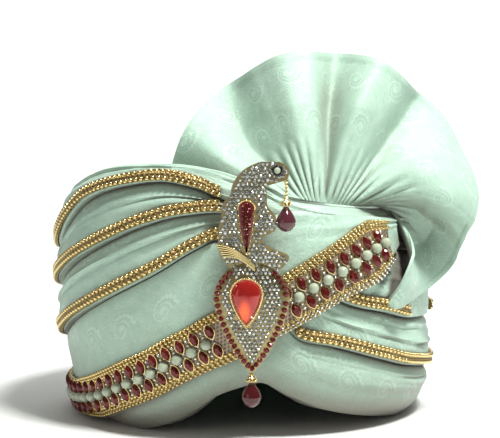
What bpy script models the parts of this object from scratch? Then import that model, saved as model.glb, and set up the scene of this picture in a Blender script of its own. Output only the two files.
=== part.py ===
"""Tied turban pagri: wound cloth wraps, a diagonal jewelled sash, a pleated fan and a brooch.

Metres, +Z up. The front faces -Y. A turn is an angle about the upright axis in degrees,
0 at the front, 90 at the viewer's left, 180 at the back and 270 at the viewer's right.
A reach is the distance out from the axis, measured at the sides.
"""
import math

import bmesh
import bpy
from mathutils import Matrix, Vector

# Head hollow and the wound wall round it
HEAD_WIDE = 0.152
HEAD_LONG = 0.190
WALL_WIDE = 0.237
WALL_LONG = 0.257
WRAP_TALL = 0.168
LIP_PROUD = 0.0055
FOOT_ROUND = 0.010
FOOT_ROUND_TALL = 0.015
CREST_REACH = 0.100
WELL_REACH = 0.088
WELL_DROP = 0.009
CROWN_EDGE_DROP = 0.020
CROWN_REACH = 0.084
CROWN_TALL = 0.143
CROWN_CLOTH = 0.0025
WRAP_GAP = 0.0006
CLOTH_GAP = 0.0005
BAND_GAP = 0.0008
BAND_INSET = 0.0005
TRIM_LIFT = 0.0004
LIP_SEAT = 0.0005
RIM_CLEAR = 0.002

# Sash, trims and jewelled band
SASH_CLOTH = 0.003
SASH_ROWS = 5
TRIM_WIDE = 0.007
TRIM_THICK = 0.0026
BAND_CLOTH = 0.0014
BAND_TRIM_WIDE = 0.0065
BAND_TRIM_SHARE = 0.2
BAND_TRIM_THICK = 0.003
BAND_TRIM_GAP = 0.0005
PEARL_WIDE = 0.0064
PEARL_TALL = 0.0048
PEARL_SIDES = 10
STONE_PITCH = 0.0104
STONE_LONG = 0.0084
STONE_WIDE = 0.0053
STONE_TALL = 0.0030
STONE_TABLE = 0.55
STONE_ROW = 0.0062
STONE_SINK = 0.0006
BAND_LEAN = 0.84

# Fan
FAN_CLOTH = 0.002
FAN_REACH = 0.106
FAN_SIDE_SHARE = 0.7
FAN_INSET = 0.02595
FAN_X = FAN_SIDE_SHARE * WALL_WIDE / 2 - FAN_INSET
FAN_Z = 0.8095 * WRAP_TALL
FAN_RAYS = 31
FAN_STEPS = 9
FAN_FOLD = 0.009
FAN_SEAT = 0.0016
FAN_OUT = 0.003

# Brooch
BROOCH_X = 0.0063
BROOCH_STAND = 0.0215
BROOCH_Y = -WALL_LONG / 2 - BROOCH_STAND
BROOCH_THICK = 0.004
MEDAL_WIDE = 0.045
MEDAL_TALL = 0.066
MEDAL_TOP = 0.6607 * WRAP_TALL
MEDAL_BEVEL = 0.001
STONE_SEAT = 0.0004
CENTRE_WIDE = 0.0176
CENTRE_TALL = 0.0264
CENTRE_DEEP = 0.006
CENTRE_BEVEL = 0.0038
CENTRE_DOWN = 0.0105
CENTRE_SIDE = 0.003
PLUME_TALL = 0.065
PLUME_DOWN = 0.006
PLUME_SIDE = 0.002
PLUME_INSET = 0.0006
INLAY_TALL = 0.030
INLAY_THICK = 0.0016
INLAY_BEVEL = 0.0005
INLAY_SIDE = 0.005
EYE_WIDE = 0.0046
EYE_THICK = 0.003
EYE_BEVEL = 0.0012
EYE_SIDES = 12
DROP_WIDE = 0.0118
DROP_TALL = 0.0150
CAP_WIDE = 0.0062
CAP_TALL = 0.0046
WIRE = 0.0009
PIN_WIDE = 0.0015
PIN_UP = 0.5655 * WRAP_TALL
PIN_WINDOW = 0.005
HANG_GAP = 0.0003

# Turns at which every wound piece has a section: close at the front, wider at the back
FRONT_STEP = 6
FRONT_FROM = -60
FRONT_TO = 114
BACK_SECTIONS = 13
BACK_ARC = (360 - FRONT_TO + FRONT_FROM) / BACK_SECTIONS
TURNS = [float(turn) for turn in range(FRONT_FROM, FRONT_TO, FRONT_STEP)]
TURNS += [FRONT_TO + index * BACK_ARC for index in range(BACK_SECTIONS)]

# Turns where the sash and its band end, where the sash goes under the lower lip, and where
# the brooch covers the band's stones
SASH_ENDS = (-54, 108)
SASH_UNDER_FROM = 6
BAND_ENDS = (-48, 102)
STONE_ENDS = (-46, 98)
BROOCH_COVERS = (-14, 8)

# Wall outline: share of WRAP_TALL, share of the half width at the left, the same at the right
WALL = [
    (0.00, 0.905, 1.000),
    (0.09, 0.915, 1.005),
    (0.17, 0.935, 1.010),
    (0.30, 0.970, 1.020),
    (0.45, 1.000, 1.015),
    (0.62, 1.000, 1.000),
    (0.75, 0.985, 0.985),
    (0.87, 0.955, 0.955),
    (1.00, 0.880, 0.880),
]
# Heights of lines round the wall: turn, share of WRAP_TALL
CREST = [
    (-75, 0.825), (-60, 0.820), (-40, 0.830), (-25, 0.848), (-15, 0.868), (-8, 0.905), (0, 0.945),
    (8, 0.972), (22, 0.993), (34, 0.995), (46, 0.985), (60, 0.955), (70, 0.930), (90, 0.885),
    (130, 0.875), (180, 0.880), (230, 0.865), (270, 0.825),
]
TOP_LINE = [
    (-50, 0.670), (-25, 0.715), (-10, 0.790), (0, 0.850), (6, 0.870), (13, 0.905), (25, 0.928),
    (40, 0.906), (55, 0.857), (68, 0.768), (80, 0.680), (95, 0.620), (130, 0.585), (180, 0.600),
    (230, 0.610), (270, 0.630),
]
MIDDLE_LINE = [
    (-60, 0.400), (-46, 0.440), (-34, 0.475), (-25, 0.530), (-15, 0.640), (-7, 0.745), (0, 0.805),
    (7, 0.822), (18, 0.808), (30, 0.768), (44, 0.701), (58, 0.630), (76, 0.541), (95, 0.470),
    (130, 0.405), (180, 0.375), (230, 0.370), (270, 0.380),
]
LOWER_LINE = [
    (-60, 0.217), (-45, 0.265), (-35, 0.303), (-26, 0.336), (-18, 0.358), (-10, 0.460), (-4, 0.600),
    (2, 0.700), (7, 0.722), (13, 0.690), (25, 0.601), (41, 0.505), (60, 0.402), (75, 0.330),
    (95, 0.262), (130, 0.202), (180, 0.173), (230, 0.165), (272, 0.173),
]
RIM_LINE = [
    (-75, 0.000), (-54, 0.030), (-43, 0.052), (-29, 0.090), (-22, 0.122), (-15, 0.157), (-6, 0.205),
    (0, 0.188), (8, 0.155), (15, 0.104), (23, 0.054), (31, 0.021), (40, 0.000), (120, 0.000),
    (200, 0.000),
]
# The sash and its band: turn, share of WRAP_TALL
SASH_TOP = [(-54, 0.785), (-37, 0.806), (-25, 0.815), (-17, 0.830), (-8, 0.810), (0, 0.770), (6, 0.716)]
BAND_TOP = [
    (-54, 0.770), (-41, 0.788), (-32, 0.744), (-23, 0.685), (-15, 0.628), (-8, 0.575), (0, 0.520),
    (10, 0.455), (15, 0.415), (22, 0.368), (29, 0.318), (38, 0.269), (48, 0.217), (57, 0.181),
    (71, 0.143), (90, 0.135), (114, 0.130),
]
BAND_LOW = [
    (-54, 0.680), (-45, 0.607), (-39, 0.560), (-33, 0.530), (-23, 0.468), (-13, 0.397), (-4, 0.341),
    (3, 0.288), (9, 0.256), (16, 0.212), (25, 0.152), (34, 0.105), (44, 0.059), (53, 0.026),
    (62, 0.016), (80, 0.013), (114, 0.013),
]
# How far each lip stands out: turn, share of LIP_PROUD
TOP_LIP = [(-72, 1.0), (-56, 0.0), (-6, 0.0), (5, 1.0), (90, 1.0), (180, 1.0)]
MIDDLE_LIP = [(-40, 1.0), (-30, 0.9), (-22, 0.0), (-6, 0.0), (4, 1.0), (90, 1.0), (200, 1.0)]
LOWER_LIP = [(-30, 1.0), (-24, 0.8), (-18, 0.35), (-10, 0.0), (6, 0.0), (13, 1.0), (90, 1.0), (200, 1.0)]
RIM_LIP = [(-40, 1.0), (-18, 0.6), (-8, 0.0), (100, 0.0), (125, 0.8), (200, 1.0)]
# Bulge of a wrap above its lip: share of its height, share of the lip
BULGE = [(0.30, 1.0), (0.65, 0.72)]
RIM_BULGE = [(0.25, 0.80), (0.60, 0.90)]
# The slant between wraps: lowest height at the hollow, its rise with the outer line (shares)
TOP_SLANT = (0.600, 0.30, 0.585)
MIDDLE_SLANT = (0.393, 0.50, 0.370)
LOWER_SLANT = (0.180, 0.55, 0.165)

# Fan rays: angle from the right, share of FAN_REACH, how far forward the rim is (share of half
# WALL_LONG), belly (share of FAN_REACH), fold (share of FAN_FOLD), root's turn
FAN = [
    (165, 0.985, 0.4514, 0.038, 0.0, -15),
    (155, 1.000, 0.4514, 0.047, 0.5, -17),
    (143, 0.980, 0.4669, 0.057, 0.9, -20),
    (130, 0.972, 0.4825, 0.066, 1.0, -22),
    (122, 0.968, 0.4825, 0.066, -0.7, -23),
    (112, 0.962, 0.4825, 0.066, -0.9, -25),
    (101, 0.950, 0.4825, 0.066, 0.7, -27),
    (92, 0.950, 0.4825, 0.066, 0.3, -29),
    (82, 0.940, 0.4747, 0.066, -0.9, -31),
    (71, 0.918, 0.4669, 0.075, 0.7, -33),
    (58, 0.893, 0.4514, 0.075, 0.8, -35),
    (51, 0.885, 0.4358, 0.075, 1.0, -37),
    (41, 0.880, 0.4125, 0.075, -1.0, -39),
    (31, 0.882, 0.3891, 0.094, -0.1, -41),
    (21, 0.884, 0.3580, 0.113, 0.9, -44),
    (7, 0.882, 0.3268, 0.123, 0.7, -47),
    (-3, 0.872, 0.3268, 0.142, -0.6, -50),
    (-14, 0.853, 0.3580, 0.170, -0.4, -53),
    (-27, 0.815, 0.4358, 0.226, 0.4, -56),
    (-42, 0.757, 0.5681, 0.283, 0.6, -59),
    (-59, 0.665, 0.7471, 0.340, 0.0, -62),
]

# Plume outline about its own height: share up, share left of the stem, share right
PLUME = [
    (0.00, -0.20, 0.20),
    (0.10, -0.28, 0.30),
    (0.14, -0.31, 0.31),
    (0.22, -0.33, 0.14),
    (0.30, -0.33, 0.06),
    (0.39, -0.33, 0.19),
    (0.49, -0.31, 0.19),
    (0.62, -0.29, 0.11),
    (0.71, -0.22, 0.11),
    (0.77, -0.21, 0.10),
    (0.85, -0.17, 0.30),
    (0.92, -0.11, 0.31),
    (0.97, -0.03, 0.28),
    (1.00, 0.05, 0.22),
]


def curve(rows, at, column=1, closed=True):
    """Value at a turn, on a smooth curve through the rows that never overshoots them."""
    points = sorted((row[0], row[column]) for row in rows)
    if closed:
        while at < points[0][0]:
            at += 360
        while at >= points[0][0] + 360:
            at -= 360
        points = [(points[-1][0] - 360, points[-1][1])] + points
        points += [(points[1][0] + 360, points[1][1]), (points[2][0] + 360, points[2][1])]
    at = min(max(at, points[0][0]), points[-1][0])
    last = len(points) - 1
    steps = [(points[i + 1][1] - points[i][1]) / (points[i + 1][0] - points[i][0]) for i in range(last)]
    spot = next(i for i in range(last) if at <= points[i + 1][0])

    def slope(index):
        if index in (0, last):
            return steps[min(index, last - 1)]
        before, after = steps[index - 1], steps[index]
        return 0.0 if before * after <= 0 else 2 * before * after / (before + after)

    wide = points[spot + 1][0] - points[spot][0]
    t = (at - points[spot][0]) / wide
    start, end = points[spot][1], points[spot + 1][1]
    return (start * (1 + 2 * t) * (1 - t) ** 2 + slope(spot) * wide * t * (1 - t) ** 2
            + end * t * t * (3 - 2 * t) - slope(spot + 1) * wide * t * t * (1 - t))


def place(turn, reach, height):
    """Point at a turn, a reach and a height: the ovals grow from the hollow's to the wall's."""
    stretch = (WALL_LONG - HEAD_LONG) / (WALL_WIDE - HEAD_WIDE)
    angle = math.radians(turn)
    depth = HEAD_LONG / 2 + stretch * (reach - HEAD_WIDE / 2)
    return Vector((-reach * math.sin(angle), -depth * math.cos(angle), height))


def outward(turn):
    """Level direction straight out of the wall at a turn."""
    out = place(turn, WALL_WIDE / 2, 0)
    out = Vector((out.x / WALL_WIDE ** 2, out.y / WALL_LONG ** 2, 0))
    return out.normalized()


def rim(turn):
    """Height of the foot at a turn: flat on the floor but for the arch over the brow."""
    return WRAP_TALL * curve(RIM_LINE, turn)


def wall(turn, height):
    """Reach of the wall before its lips, rounded in at the foot."""
    side = 0.5 + 0.5 * math.sin(math.radians(turn))
    share = height / WRAP_TALL
    left = curve(WALL, share, 1, False)
    right = curve(WALL, share, 2, False)
    above = min(max((height - rim(turn)) / FOOT_ROUND_TALL, 0), 1)
    return WALL_WIDE / 2 * (right + (left - right) * side) - FOOT_ROUND * (1 - above) ** 2


class Line:
    """A line between two wraps: its height outside, its lip and its height at the hollow."""

    def __init__(self, rows, lip_rows, slant):
        self.rows = rows
        self.lip_rows = lip_rows
        self.slant = slant

    def height(self, turn):
        return WRAP_TALL * curve(self.rows, turn)

    def lip(self, turn):
        return LIP_PROUD * curve(self.lip_rows, turn)

    def inner(self, turn):
        base, rise, lowest = self.slant
        return WRAP_TALL * (base + rise * (curve(self.rows, turn) - lowest))


TOP = Line(TOP_LINE, TOP_LIP, TOP_SLANT)
MIDDLE = Line(MIDDLE_LINE, MIDDLE_LIP, MIDDLE_SLANT)
LOWER = Line(LOWER_LINE, LOWER_LIP, LOWER_SLANT)


def lower_face(turn, line):
    """Underside of a wrap, from the hollow out to its lip."""
    height = line.height(turn) + WRAP_GAP
    return [
        (HEAD_WIDE / 2, line.inner(turn) + WRAP_GAP),
        (wall(turn, height) - LIP_SEAT, height),
        (wall(turn, height) + 0.8 * line.lip(turn), height),
    ]


def upper_face(turn, line):
    """Top of a wrap, from under the next lip in to the hollow."""
    height = line.height(turn)
    return [(wall(turn, height) - LIP_SEAT, height), (HEAD_WIDE / 2, line.inner(turn))]


def bulge(turn, low, high, proud, rows):
    """Outer face of a wrap between two heights, swollen by shares of its lip."""
    face = []
    for share, swell in rows:
        height = low + share * (high - low)
        face.append((wall(turn, height) + swell * proud, height))
    return face


def top_roll_section(turn):
    """Section of the top roll: a quarter oval up to the crest, then the slope to the well."""
    crest = WRAP_TALL * curve(CREST, turn)
    low = TOP.height(turn)
    shoulder = low + 0.25 * (crest - low)
    out = wall(turn, shoulder) + TOP.lip(turn)
    section = lower_face(turn, TOP)
    for degrees in (0, 32, 62, 90):
        angle = math.radians(degrees)
        reach = CREST_REACH + (out - CREST_REACH) * math.cos(angle)
        section.append((reach, shoulder + (crest - shoulder) * math.sin(angle)))
    section.append((WELL_REACH, crest - WELL_DROP))
    section.append((HEAD_WIDE / 2, crest - CROWN_EDGE_DROP))
    return section


def wrap_section(turn, over, under):
    """Section of a wrap between two lines."""
    low = under.height(turn)
    high = over.height(turn)
    return (lower_face(turn, under) + bulge(turn, low, high, under.lip(turn), BULGE)
            + upper_face(turn, over))


def rim_wrap_section(turn):
    """Section of the lowest wrap, with its flat foot."""
    foot = rim(turn)
    high = LOWER.height(turn)
    proud = LIP_PROUD * curve(RIM_LIP, turn)
    section = [(HEAD_WIDE / 2, foot), (wall(turn, foot), foot)]
    for share in (0.25, 0.6):
        height = foot + share * FOOT_ROUND_TALL
        section.append((wall(turn, height) + 0.4 * proud, height))
    base = foot + FOOT_ROUND_TALL
    return section + bulge(turn, base, high, proud, RIM_BULGE) + upper_face(turn, LOWER)


def reach_over(sections, low, high):
    """Furthest reach of some closed sections between two heights."""
    best = 0.0
    for section in sections:
        for start, end in zip(section, section[1:] + section[:1]):
            if low <= start[1] <= high:
                best = max(best, start[0])
            for level in (low, high):
                if (start[1] - level) * (end[1] - level) < 0:
                    share = (level - start[1]) / (end[1] - start[1])
                    best = max(best, start[0] + share * (end[0] - start[0]))
    return best


def seat(sections, low, high, share, window):
    """Reach and height of what a strip lies on, at a share of the strip's width."""
    height = low + share * (high - low)
    return reach_over(sections, height - window, height + window), height


def strip_section(sections, low, high, gap, face, backs):
    """Section of a strip laid on others: face rows are share up, thickness in metres."""
    window = (high - low) / (backs - 1) / 2
    front = []
    for share, thick in face:
        reach, height = seat(sections, low, high, share, window)
        front.append((reach + gap + thick, height))
    back = []
    for index in range(backs):
        reach, height = seat(sections, low, high, index / (backs - 1), window)
        back.append((reach + gap, height))
    return front + back[::-1]


def even_face(count, thick):
    """Rows of an even strip."""
    return [(index / (count - 1), thick) for index in range(count)]


def loft(turns, sections, closed):
    """Faces through like sections; each four-sided face splits from inner to outer corner."""
    bm = bmesh.new()
    rings = []
    for turn, section in zip(turns, sections):
        rings.append([bm.verts.new(place(turn, reach, height)) for reach, height in section])
    count = len(sections[0])
    pairs = list(zip(range(len(rings)), range(1, len(rings))))
    if closed:
        pairs.append((len(rings) - 1, 0))
    for a, b in pairs:
        for j in range(count):
            k = (j + 1) % count
            outgoing = sections[a][k][0] + sections[b][k][0] > sections[a][j][0] + sections[b][j][0]
            if outgoing:
                bm.faces.new((rings[a][j], rings[b][k], rings[b][j]))
                bm.faces.new((rings[a][j], rings[a][k], rings[b][k]))
            else:
                bm.faces.new((rings[a][j], rings[a][k], rings[b][j]))
                bm.faces.new((rings[a][k], rings[b][k], rings[b][j]))
    if not closed:
        bm.faces.new(rings[0][::-1])
        bm.faces.new(rings[-1])
    return bm


def material(name, colour, roughness, metallic=0.0):
    """Plain finish of one piece."""
    finish = bpy.data.materials.new(name)
    finish.use_nodes = True
    shader = finish.node_tree.nodes["Principled BSDF"]
    shader.inputs["Base Color"].default_value = (*colour, 1)
    shader.inputs["Roughness"].default_value = roughness
    shader.inputs["Metallic"].default_value = metallic
    return finish


CLOTH = (0.52, 0.72, 0.60)
GOLD = (0.62, 0.44, 0.14)
RED = (0.70, 0.04, 0.01)
MAROON = (0.20, 0.02, 0.03)
PEARL = (0.72, 0.74, 0.62)


def add(name, bm, colour, roughness, metallic=0.0, smooth=True):
    """Close, turn outwards and name one piece, with its own finish."""
    bmesh.ops.recalc_face_normals(bm, faces=bm.faces)
    if bm.calc_volume(signed=True) < 0:
        bmesh.ops.reverse_faces(bm, faces=bm.faces)
    mesh = bpy.data.meshes.new(name)
    bm.to_mesh(mesh)
    bm.free()
    if smooth:
        mesh.shade_smooth()
        mesh.set_sharp_from_angle(angle=math.radians(40))
    piece = bpy.data.objects.new(name, mesh)
    piece.data.materials.append(material(name + "_finish", colour, roughness, metallic))
    bpy.context.scene.collection.objects.link(piece)
    return piece


def add_wraps():
    """The four wound wraps. Returns their sections at every turn."""
    makers = {
        "top_roll": top_roll_section,
        "second_wrap": lambda turn: wrap_section(turn, TOP, MIDDLE),
        "third_wrap": lambda turn: wrap_section(turn, MIDDLE, LOWER),
        "rim_wrap": rim_wrap_section,
    }
    layers = {turn: [] for turn in TURNS}
    for name, make in makers.items():
        sections = [make(turn) for turn in TURNS]
        for turn, section in zip(TURNS, sections):
            layers[turn].append(section)
        add(name, loft(TURNS, sections, True), CLOTH, 0.45)
    return layers


def add_crown():
    """Domed cloth whose edge lies on the top roll's inner slope."""
    bm = bmesh.new()
    shares = (0.0, 0.35, 0.7, 1.0)
    slope = (CROWN_REACH - HEAD_WIDE / 2) / (WELL_REACH - HEAD_WIDE / 2)
    rise = slope * (CROWN_EDGE_DROP - WELL_DROP)
    layers = []
    turns = TURNS[::2]
    for lift in (CLOTH_GAP, CLOTH_GAP + CROWN_CLOTH):
        rows = [[bm.verts.new((0, 0, CROWN_TALL + lift))]]
        for share in shares[1:]:
            row = []
            for turn in turns:
                edge = WRAP_TALL * curve(CREST, turn) - CROWN_EDGE_DROP + rise
                height = CROWN_TALL + (edge - CROWN_TALL) * share ** 2 + lift
                angle = math.radians(turn)
                long = place(0, CROWN_REACH, 0).y
                row.append(bm.verts.new((-CROWN_REACH * share * math.sin(angle),
                                         long * share * math.cos(angle), height)))
            rows.append(row)
        layers.append(rows)
    count = len(turns)
    for rows in layers:
        for j in range(count):
            k = (j + 1) % count
            bm.faces.new((rows[0][0], rows[1][j], rows[1][k]))
            for inner, outer in zip(rows[1:], rows[2:]):
                bm.faces.new((inner[j], outer[j], outer[k], inner[k]))
    for j in range(count):
        k = (j + 1) % count
        bm.faces.new((layers[0][-1][j], layers[0][-1][k], layers[1][-1][k], layers[1][-1][j]))
    add("crown", bm, CLOTH, 0.5)


def between(first, last):
    """Section turns from one turn up to another, which may run past 360."""
    every = sorted(TURNS + [turn + 360 for turn in TURNS])
    return [turn for turn in every if first <= turn <= last]


def add_sash(layers):
    """Cloth strip laid over the wraps. Returns its sections by turn."""
    sections = {}
    for turn in between(*SASH_ENDS):
        low = WRAP_TALL * curve(BAND_LOW, turn, 1, False)
        under = layers[turn]
        if turn > SASH_UNDER_FROM:
            high = LOWER.height(turn) - CLOTH_GAP
            low = max(low, rim(turn) + RIM_CLEAR)
        else:
            high = WRAP_TALL * curve(SASH_TOP, turn, 1, False)
            for beside in (turn - FRONT_STEP, turn + FRONT_STEP):
                under = under + layers.get(beside, [])
        face = even_face(SASH_ROWS, SASH_CLOTH)
        sections[turn] = strip_section(under, low, high, CLOTH_GAP, face, SASH_ROWS)
    add("sash", loft(list(sections), list(sections.values()), False), CLOTH, 0.42)
    return sections


def band_rows(turn):
    """Heights of the band's lower edge, its field's edges and its upper edge."""
    low = max(WRAP_TALL * curve(BAND_LOW, turn, 1, False), rim(turn) + RIM_CLEAR) + BAND_INSET
    high = WRAP_TALL * curve(BAND_TOP, turn, 1, False)
    trim = min(BAND_TRIM_WIDE, BAND_TRIM_SHARE * (high - low))
    return low, low + trim, high - trim, high


def ridged(thick):
    """Face of a trim with two rows of beads and a braid between."""
    return [(0.0, 0.3 * thick), (0.24, thick), (0.5, 0.65 * thick), (0.76, thick), (1.0, 0.3 * thick)]


def add_trims(layers):
    """Gold bead braids along the lower lips of the wraps."""
    runs = [
        ("top_trim", TOP, 6, 288),
        ("middle_trim", MIDDLE, 6, 275),
        ("lower_trim", LOWER, 6, 345),
        ("right_trim", MIDDLE, 303, 325),
    ]
    for name, line, first, last in runs:
        turns = between(first, last)
        sections = []
        for turn in turns:
            key = turn if turn in layers else turn - 360
            low = line.height(turn) + WRAP_GAP + TRIM_LIFT
            strip = strip_section(layers[key], low, low + TRIM_WIDE, CLOTH_GAP, ridged(TRIM_THICK), 3)
            sections.append(strip)
        add(name, loft(turns, sections, False), GOLD, 0.3, 1.0)


def add_band_trims(sash):
    """Bead rows along both edges of the jewelled band."""
    for name, side in (("band_lower_trim", 0), ("band_upper_trim", 2)):
        sections = []
        turns = between(*BAND_ENDS)
        for turn in turns:
            rows = band_rows(turn)
            low, high = rows[side], rows[side + 1]
            if side:
                low += BAND_TRIM_GAP
            else:
                high -= BAND_TRIM_GAP
            sections.append(strip_section([sash[turn]], low, high, BAND_GAP, ridged(BAND_TRIM_THICK), 3))
        add(name, loft(turns, sections, False), GOLD, 0.3, 1.0)


def band_spot(sections, turn, share):
    """Point on the band's face at a turn and a share of its width, with its frame."""
    turns = list(sections)
    index = max(i for i in range(len(turns) - 1) if turns[i] <= turn)
    first, second = turns[index], turns[index + 1]
    mix = (turn - first) / (second - first)

    def at(key, up):
        section = sections[key]
        half = len(section) // 2
        spot = up * (half - 1)
        row = min(int(spot), half - 2)
        low, high = section[row], section[row + 1]
        part = spot - row
        return place(key, low[0] + part * (high[0] - low[0]), low[1] + part * (high[1] - low[1]))

    point = at(first, share).lerp(at(second, share), mix)
    along = (at(second, share) - at(first, share)).normalized()
    across = (at(first, 1) - at(first, 0)).normalized()
    face = across.cross(along).normalized()
    if face.dot(outward(turn)) < 0:
        face.negate()
    across = (across - along * across.dot(along)).normalized()
    return point, along, across, face


def add_stone(bm, spot, outline, levels, lift):
    """One closed stone: like outlines at rising levels, with a flat table."""
    point, along, across, face = spot
    rings = []
    for share, level in levels:
        rings.append([bm.verts.new(point + along * x * share + across * (y * share + lift) + face * level)
                      for x, y in outline])
    count = len(outline)
    for low, high in zip(rings, rings[1:]):
        for j in range(count):
            bm.faces.new((low[j], low[(j + 1) % count], high[(j + 1) % count], high[j]))
    bm.faces.new(rings[0][::-1])
    bm.faces.new(rings[-1])


def pearl_outline():
    """Round outline of a pearl."""
    angles = [2 * math.pi * index / PEARL_SIDES for index in range(PEARL_SIDES)]
    return [(PEARL_WIDE / 2 * math.cos(angle), PEARL_WIDE / 2 * math.sin(angle)) for angle in angles]


def marquise_outline(long, wide):
    """Pointed oval outline with eight sides."""
    points = [(0.0, 0.5), (0.36, 0.26), (0.5, 0.0), (0.36, -0.26)]
    half = [(wide * x, long * y) for x, y in points]
    return half + [(-x, -y) for x, y in half]


def stone_turns(sections):
    """Turns at which pearls sit, a pitch apart along the band, and none under the brooch."""
    turns = []
    turn, end = STONE_ENDS
    last = None
    while turn < end:
        point = band_spot(sections, turn, 0.5)[0]
        if last is None or (point - last).length >= STONE_PITCH:
            turns.append(turn)
            last = point
        turn += 0.1
    return turns


def add_band(sash):
    """Strip with its pearls and stones, fused into one solid."""
    sections = {}
    for turn in between(*BAND_ENDS):
        rows = band_rows(turn)
        sections[turn] = strip_section([sash[turn]], rows[1], rows[2], BAND_GAP,
                                       even_face(2, BAND_CLOTH), 2)
    band = add("jewel_band", loft(list(sections), list(sections.values()), False), MAROON, 0.25)
    stones = bmesh.new()
    turns = stone_turns(sections)
    sink = -STONE_SINK
    pearl_levels = [(1.0, sink), (0.6, PEARL_TALL)]
    stone_levels = [(1.0, sink), (STONE_TABLE, STONE_TALL)]
    for index, turn in enumerate(turns):
        if not BROOCH_COVERS[0] < turn < BROOCH_COVERS[1]:
            add_stone(stones, band_spot(sections, turn, 0.5), pearl_outline(), pearl_levels, 0)
        if index + 1 < len(turns):
            middle = (turn + turns[index + 1]) / 2
            rows = band_rows(middle)
            field = (rows[2] - rows[1]) * BAND_LEAN
            fit = min(1.0, field / (2 * STONE_ROW + STONE_LONG))
            if not BROOCH_COVERS[0] < middle < BROOCH_COVERS[1]:
                outline = marquise_outline(STONE_LONG * fit, STONE_WIDE)
                for row in (-STONE_ROW * fit, STONE_ROW * fit):
                    add_stone(stones, band_spot(sections, middle, 0.5), outline, stone_levels, row)
    cutter = add("band_stones", stones, MAROON, 0.2)
    join(band, cutter)


def join(piece, other):
    """Fuse another piece into this one."""
    union = piece.modifiers.new("union", "BOOLEAN")
    union.operation = "UNION"
    union.solver = "EXACT"
    union.use_self = True
    union.object = other
    bpy.context.view_layer.update()
    fused = bpy.data.meshes.new_from_object(piece.evaluated_get(bpy.context.evaluated_depsgraph_get()))
    piece.modifiers.clear()
    piece.data = fused
    bpy.data.objects.remove(other)


def fan_point(ray, step):
    """Point of the fan's middle surface: ray and step both run from 0 to 1."""
    spot = ray * (len(FAN) - 1)
    index = min(int(spot), len(FAN) - 2)
    mix = spot - index
    ease = mix * mix * (3 - 2 * mix)
    low, high = FAN[index], FAN[index + 1]
    angle, reach, rim_y, belly, _, root_turn = [a + (b - a) * mix for a, b in zip(low, high)]
    fold = low[4] + (high[4] - low[4]) * ease
    crest = WRAP_TALL * curve(CREST, root_turn)
    root = place(root_turn, CREST_REACH + FAN_OUT, crest + FAN_SEAT)
    tip = Vector((FAN_X + FAN_REACH * reach * math.cos(math.radians(angle)), -rim_y * WALL_LONG / 2,
                  FAN_Z + FAN_REACH * reach * math.sin(math.radians(angle))))
    out = outward(root_turn)
    bend = (root + tip) / 2 + belly * FAN_REACH * (out + Vector((0, 0, 0.85)))
    grow = min(step / 0.6, 1.0)
    point = root * (1 - step) ** 2 + bend * 2 * step * (1 - step) + tip * step * step
    return point + out * (FAN_FOLD * fold * grow)


def add_fan():
    """Pleated sheet, thickened to both sides of its middle surface."""
    grid = [[fan_point(ray / (FAN_RAYS - 1), step / (FAN_STEPS - 1)) for step in range(FAN_STEPS)]
            for ray in range(FAN_RAYS)]
    bm = bmesh.new()
    sides = []
    for sign in (-0.5, 0.5):
        side = []
        for i in range(FAN_RAYS):
            row = []
            for j in range(FAN_STEPS):
                along = grid[i][min(j + 1, FAN_STEPS - 1)] - grid[i][max(j - 1, 0)]
                across = grid[min(i + 1, FAN_RAYS - 1)][j] - grid[max(i - 1, 0)][j]
                normal = across.cross(along).normalized()
                row.append(bm.verts.new(grid[i][j] + normal * sign * FAN_CLOTH))
            side.append(row)
        sides.append(side)
    for side in sides:
        for i in range(FAN_RAYS - 1):
            for j in range(FAN_STEPS - 1):
                bm.faces.new((side[i][j], side[i + 1][j], side[i + 1][j + 1]))
                bm.faces.new((side[i][j], side[i + 1][j + 1], side[i][j + 1]))
    border = [(i, 0) for i in range(FAN_RAYS)] + [(FAN_RAYS - 1, j) for j in range(1, FAN_STEPS)]
    border += [(i, FAN_STEPS - 1) for i in range(FAN_RAYS - 2, -1, -1)]
    border += [(0, j) for j in range(FAN_STEPS - 2, 0, -1)]
    for (i, j), (k, m) in zip(border, border[1:] + border[:1]):
        bm.faces.new((sides[0][i][j], sides[0][k][m], sides[1][k][m], sides[1][i][j]))
    add("fan", bm, CLOTH, 0.42)


def slab(outline, front, thick, bevel=0.0):
    """Upright slab from an (x, z) outline, its face toward the viewer, edges drawn in."""
    bm = bmesh.new()
    middle = Vector((sum(p[0] for p in outline), sum(p[1] for p in outline))) / len(outline)
    rings = []
    for y, shrink in ((front + thick, 0.0), (front + bevel, 0.0), (front, bevel)):
        ring = []
        for x, z in outline:
            inward = (middle - Vector((x, z))).normalized() * shrink
            ring.append(bm.verts.new((x + inward.x, y, z + inward.y)))
        rings.append(ring)
    count = len(outline)
    for low, high in zip(rings, rings[1:]):
        for j in range(count):
            bm.faces.new((low[j], low[(j + 1) % count], high[(j + 1) % count], high[j]))
    bm.faces.new(rings[0][::-1])
    bm.faces.new(rings[-1])
    return bm


def drop_outline(wide, tall, top, x, sides=20):
    """Pear outline, point down: a round top drawn to a point."""
    radius = wide / 2
    centre = top - radius
    length = tall - radius
    points = []
    for index in range(sides):
        angle = 2 * math.pi * index / sides
        across = math.cos(angle)
        up = math.sin(angle)
        if up >= 0:
            points.append((x + radius * across, centre + radius * up))
        else:
            points.append((x + radius * across * (1 + up) ** 0.35, centre + length * up))
    return points


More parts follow.
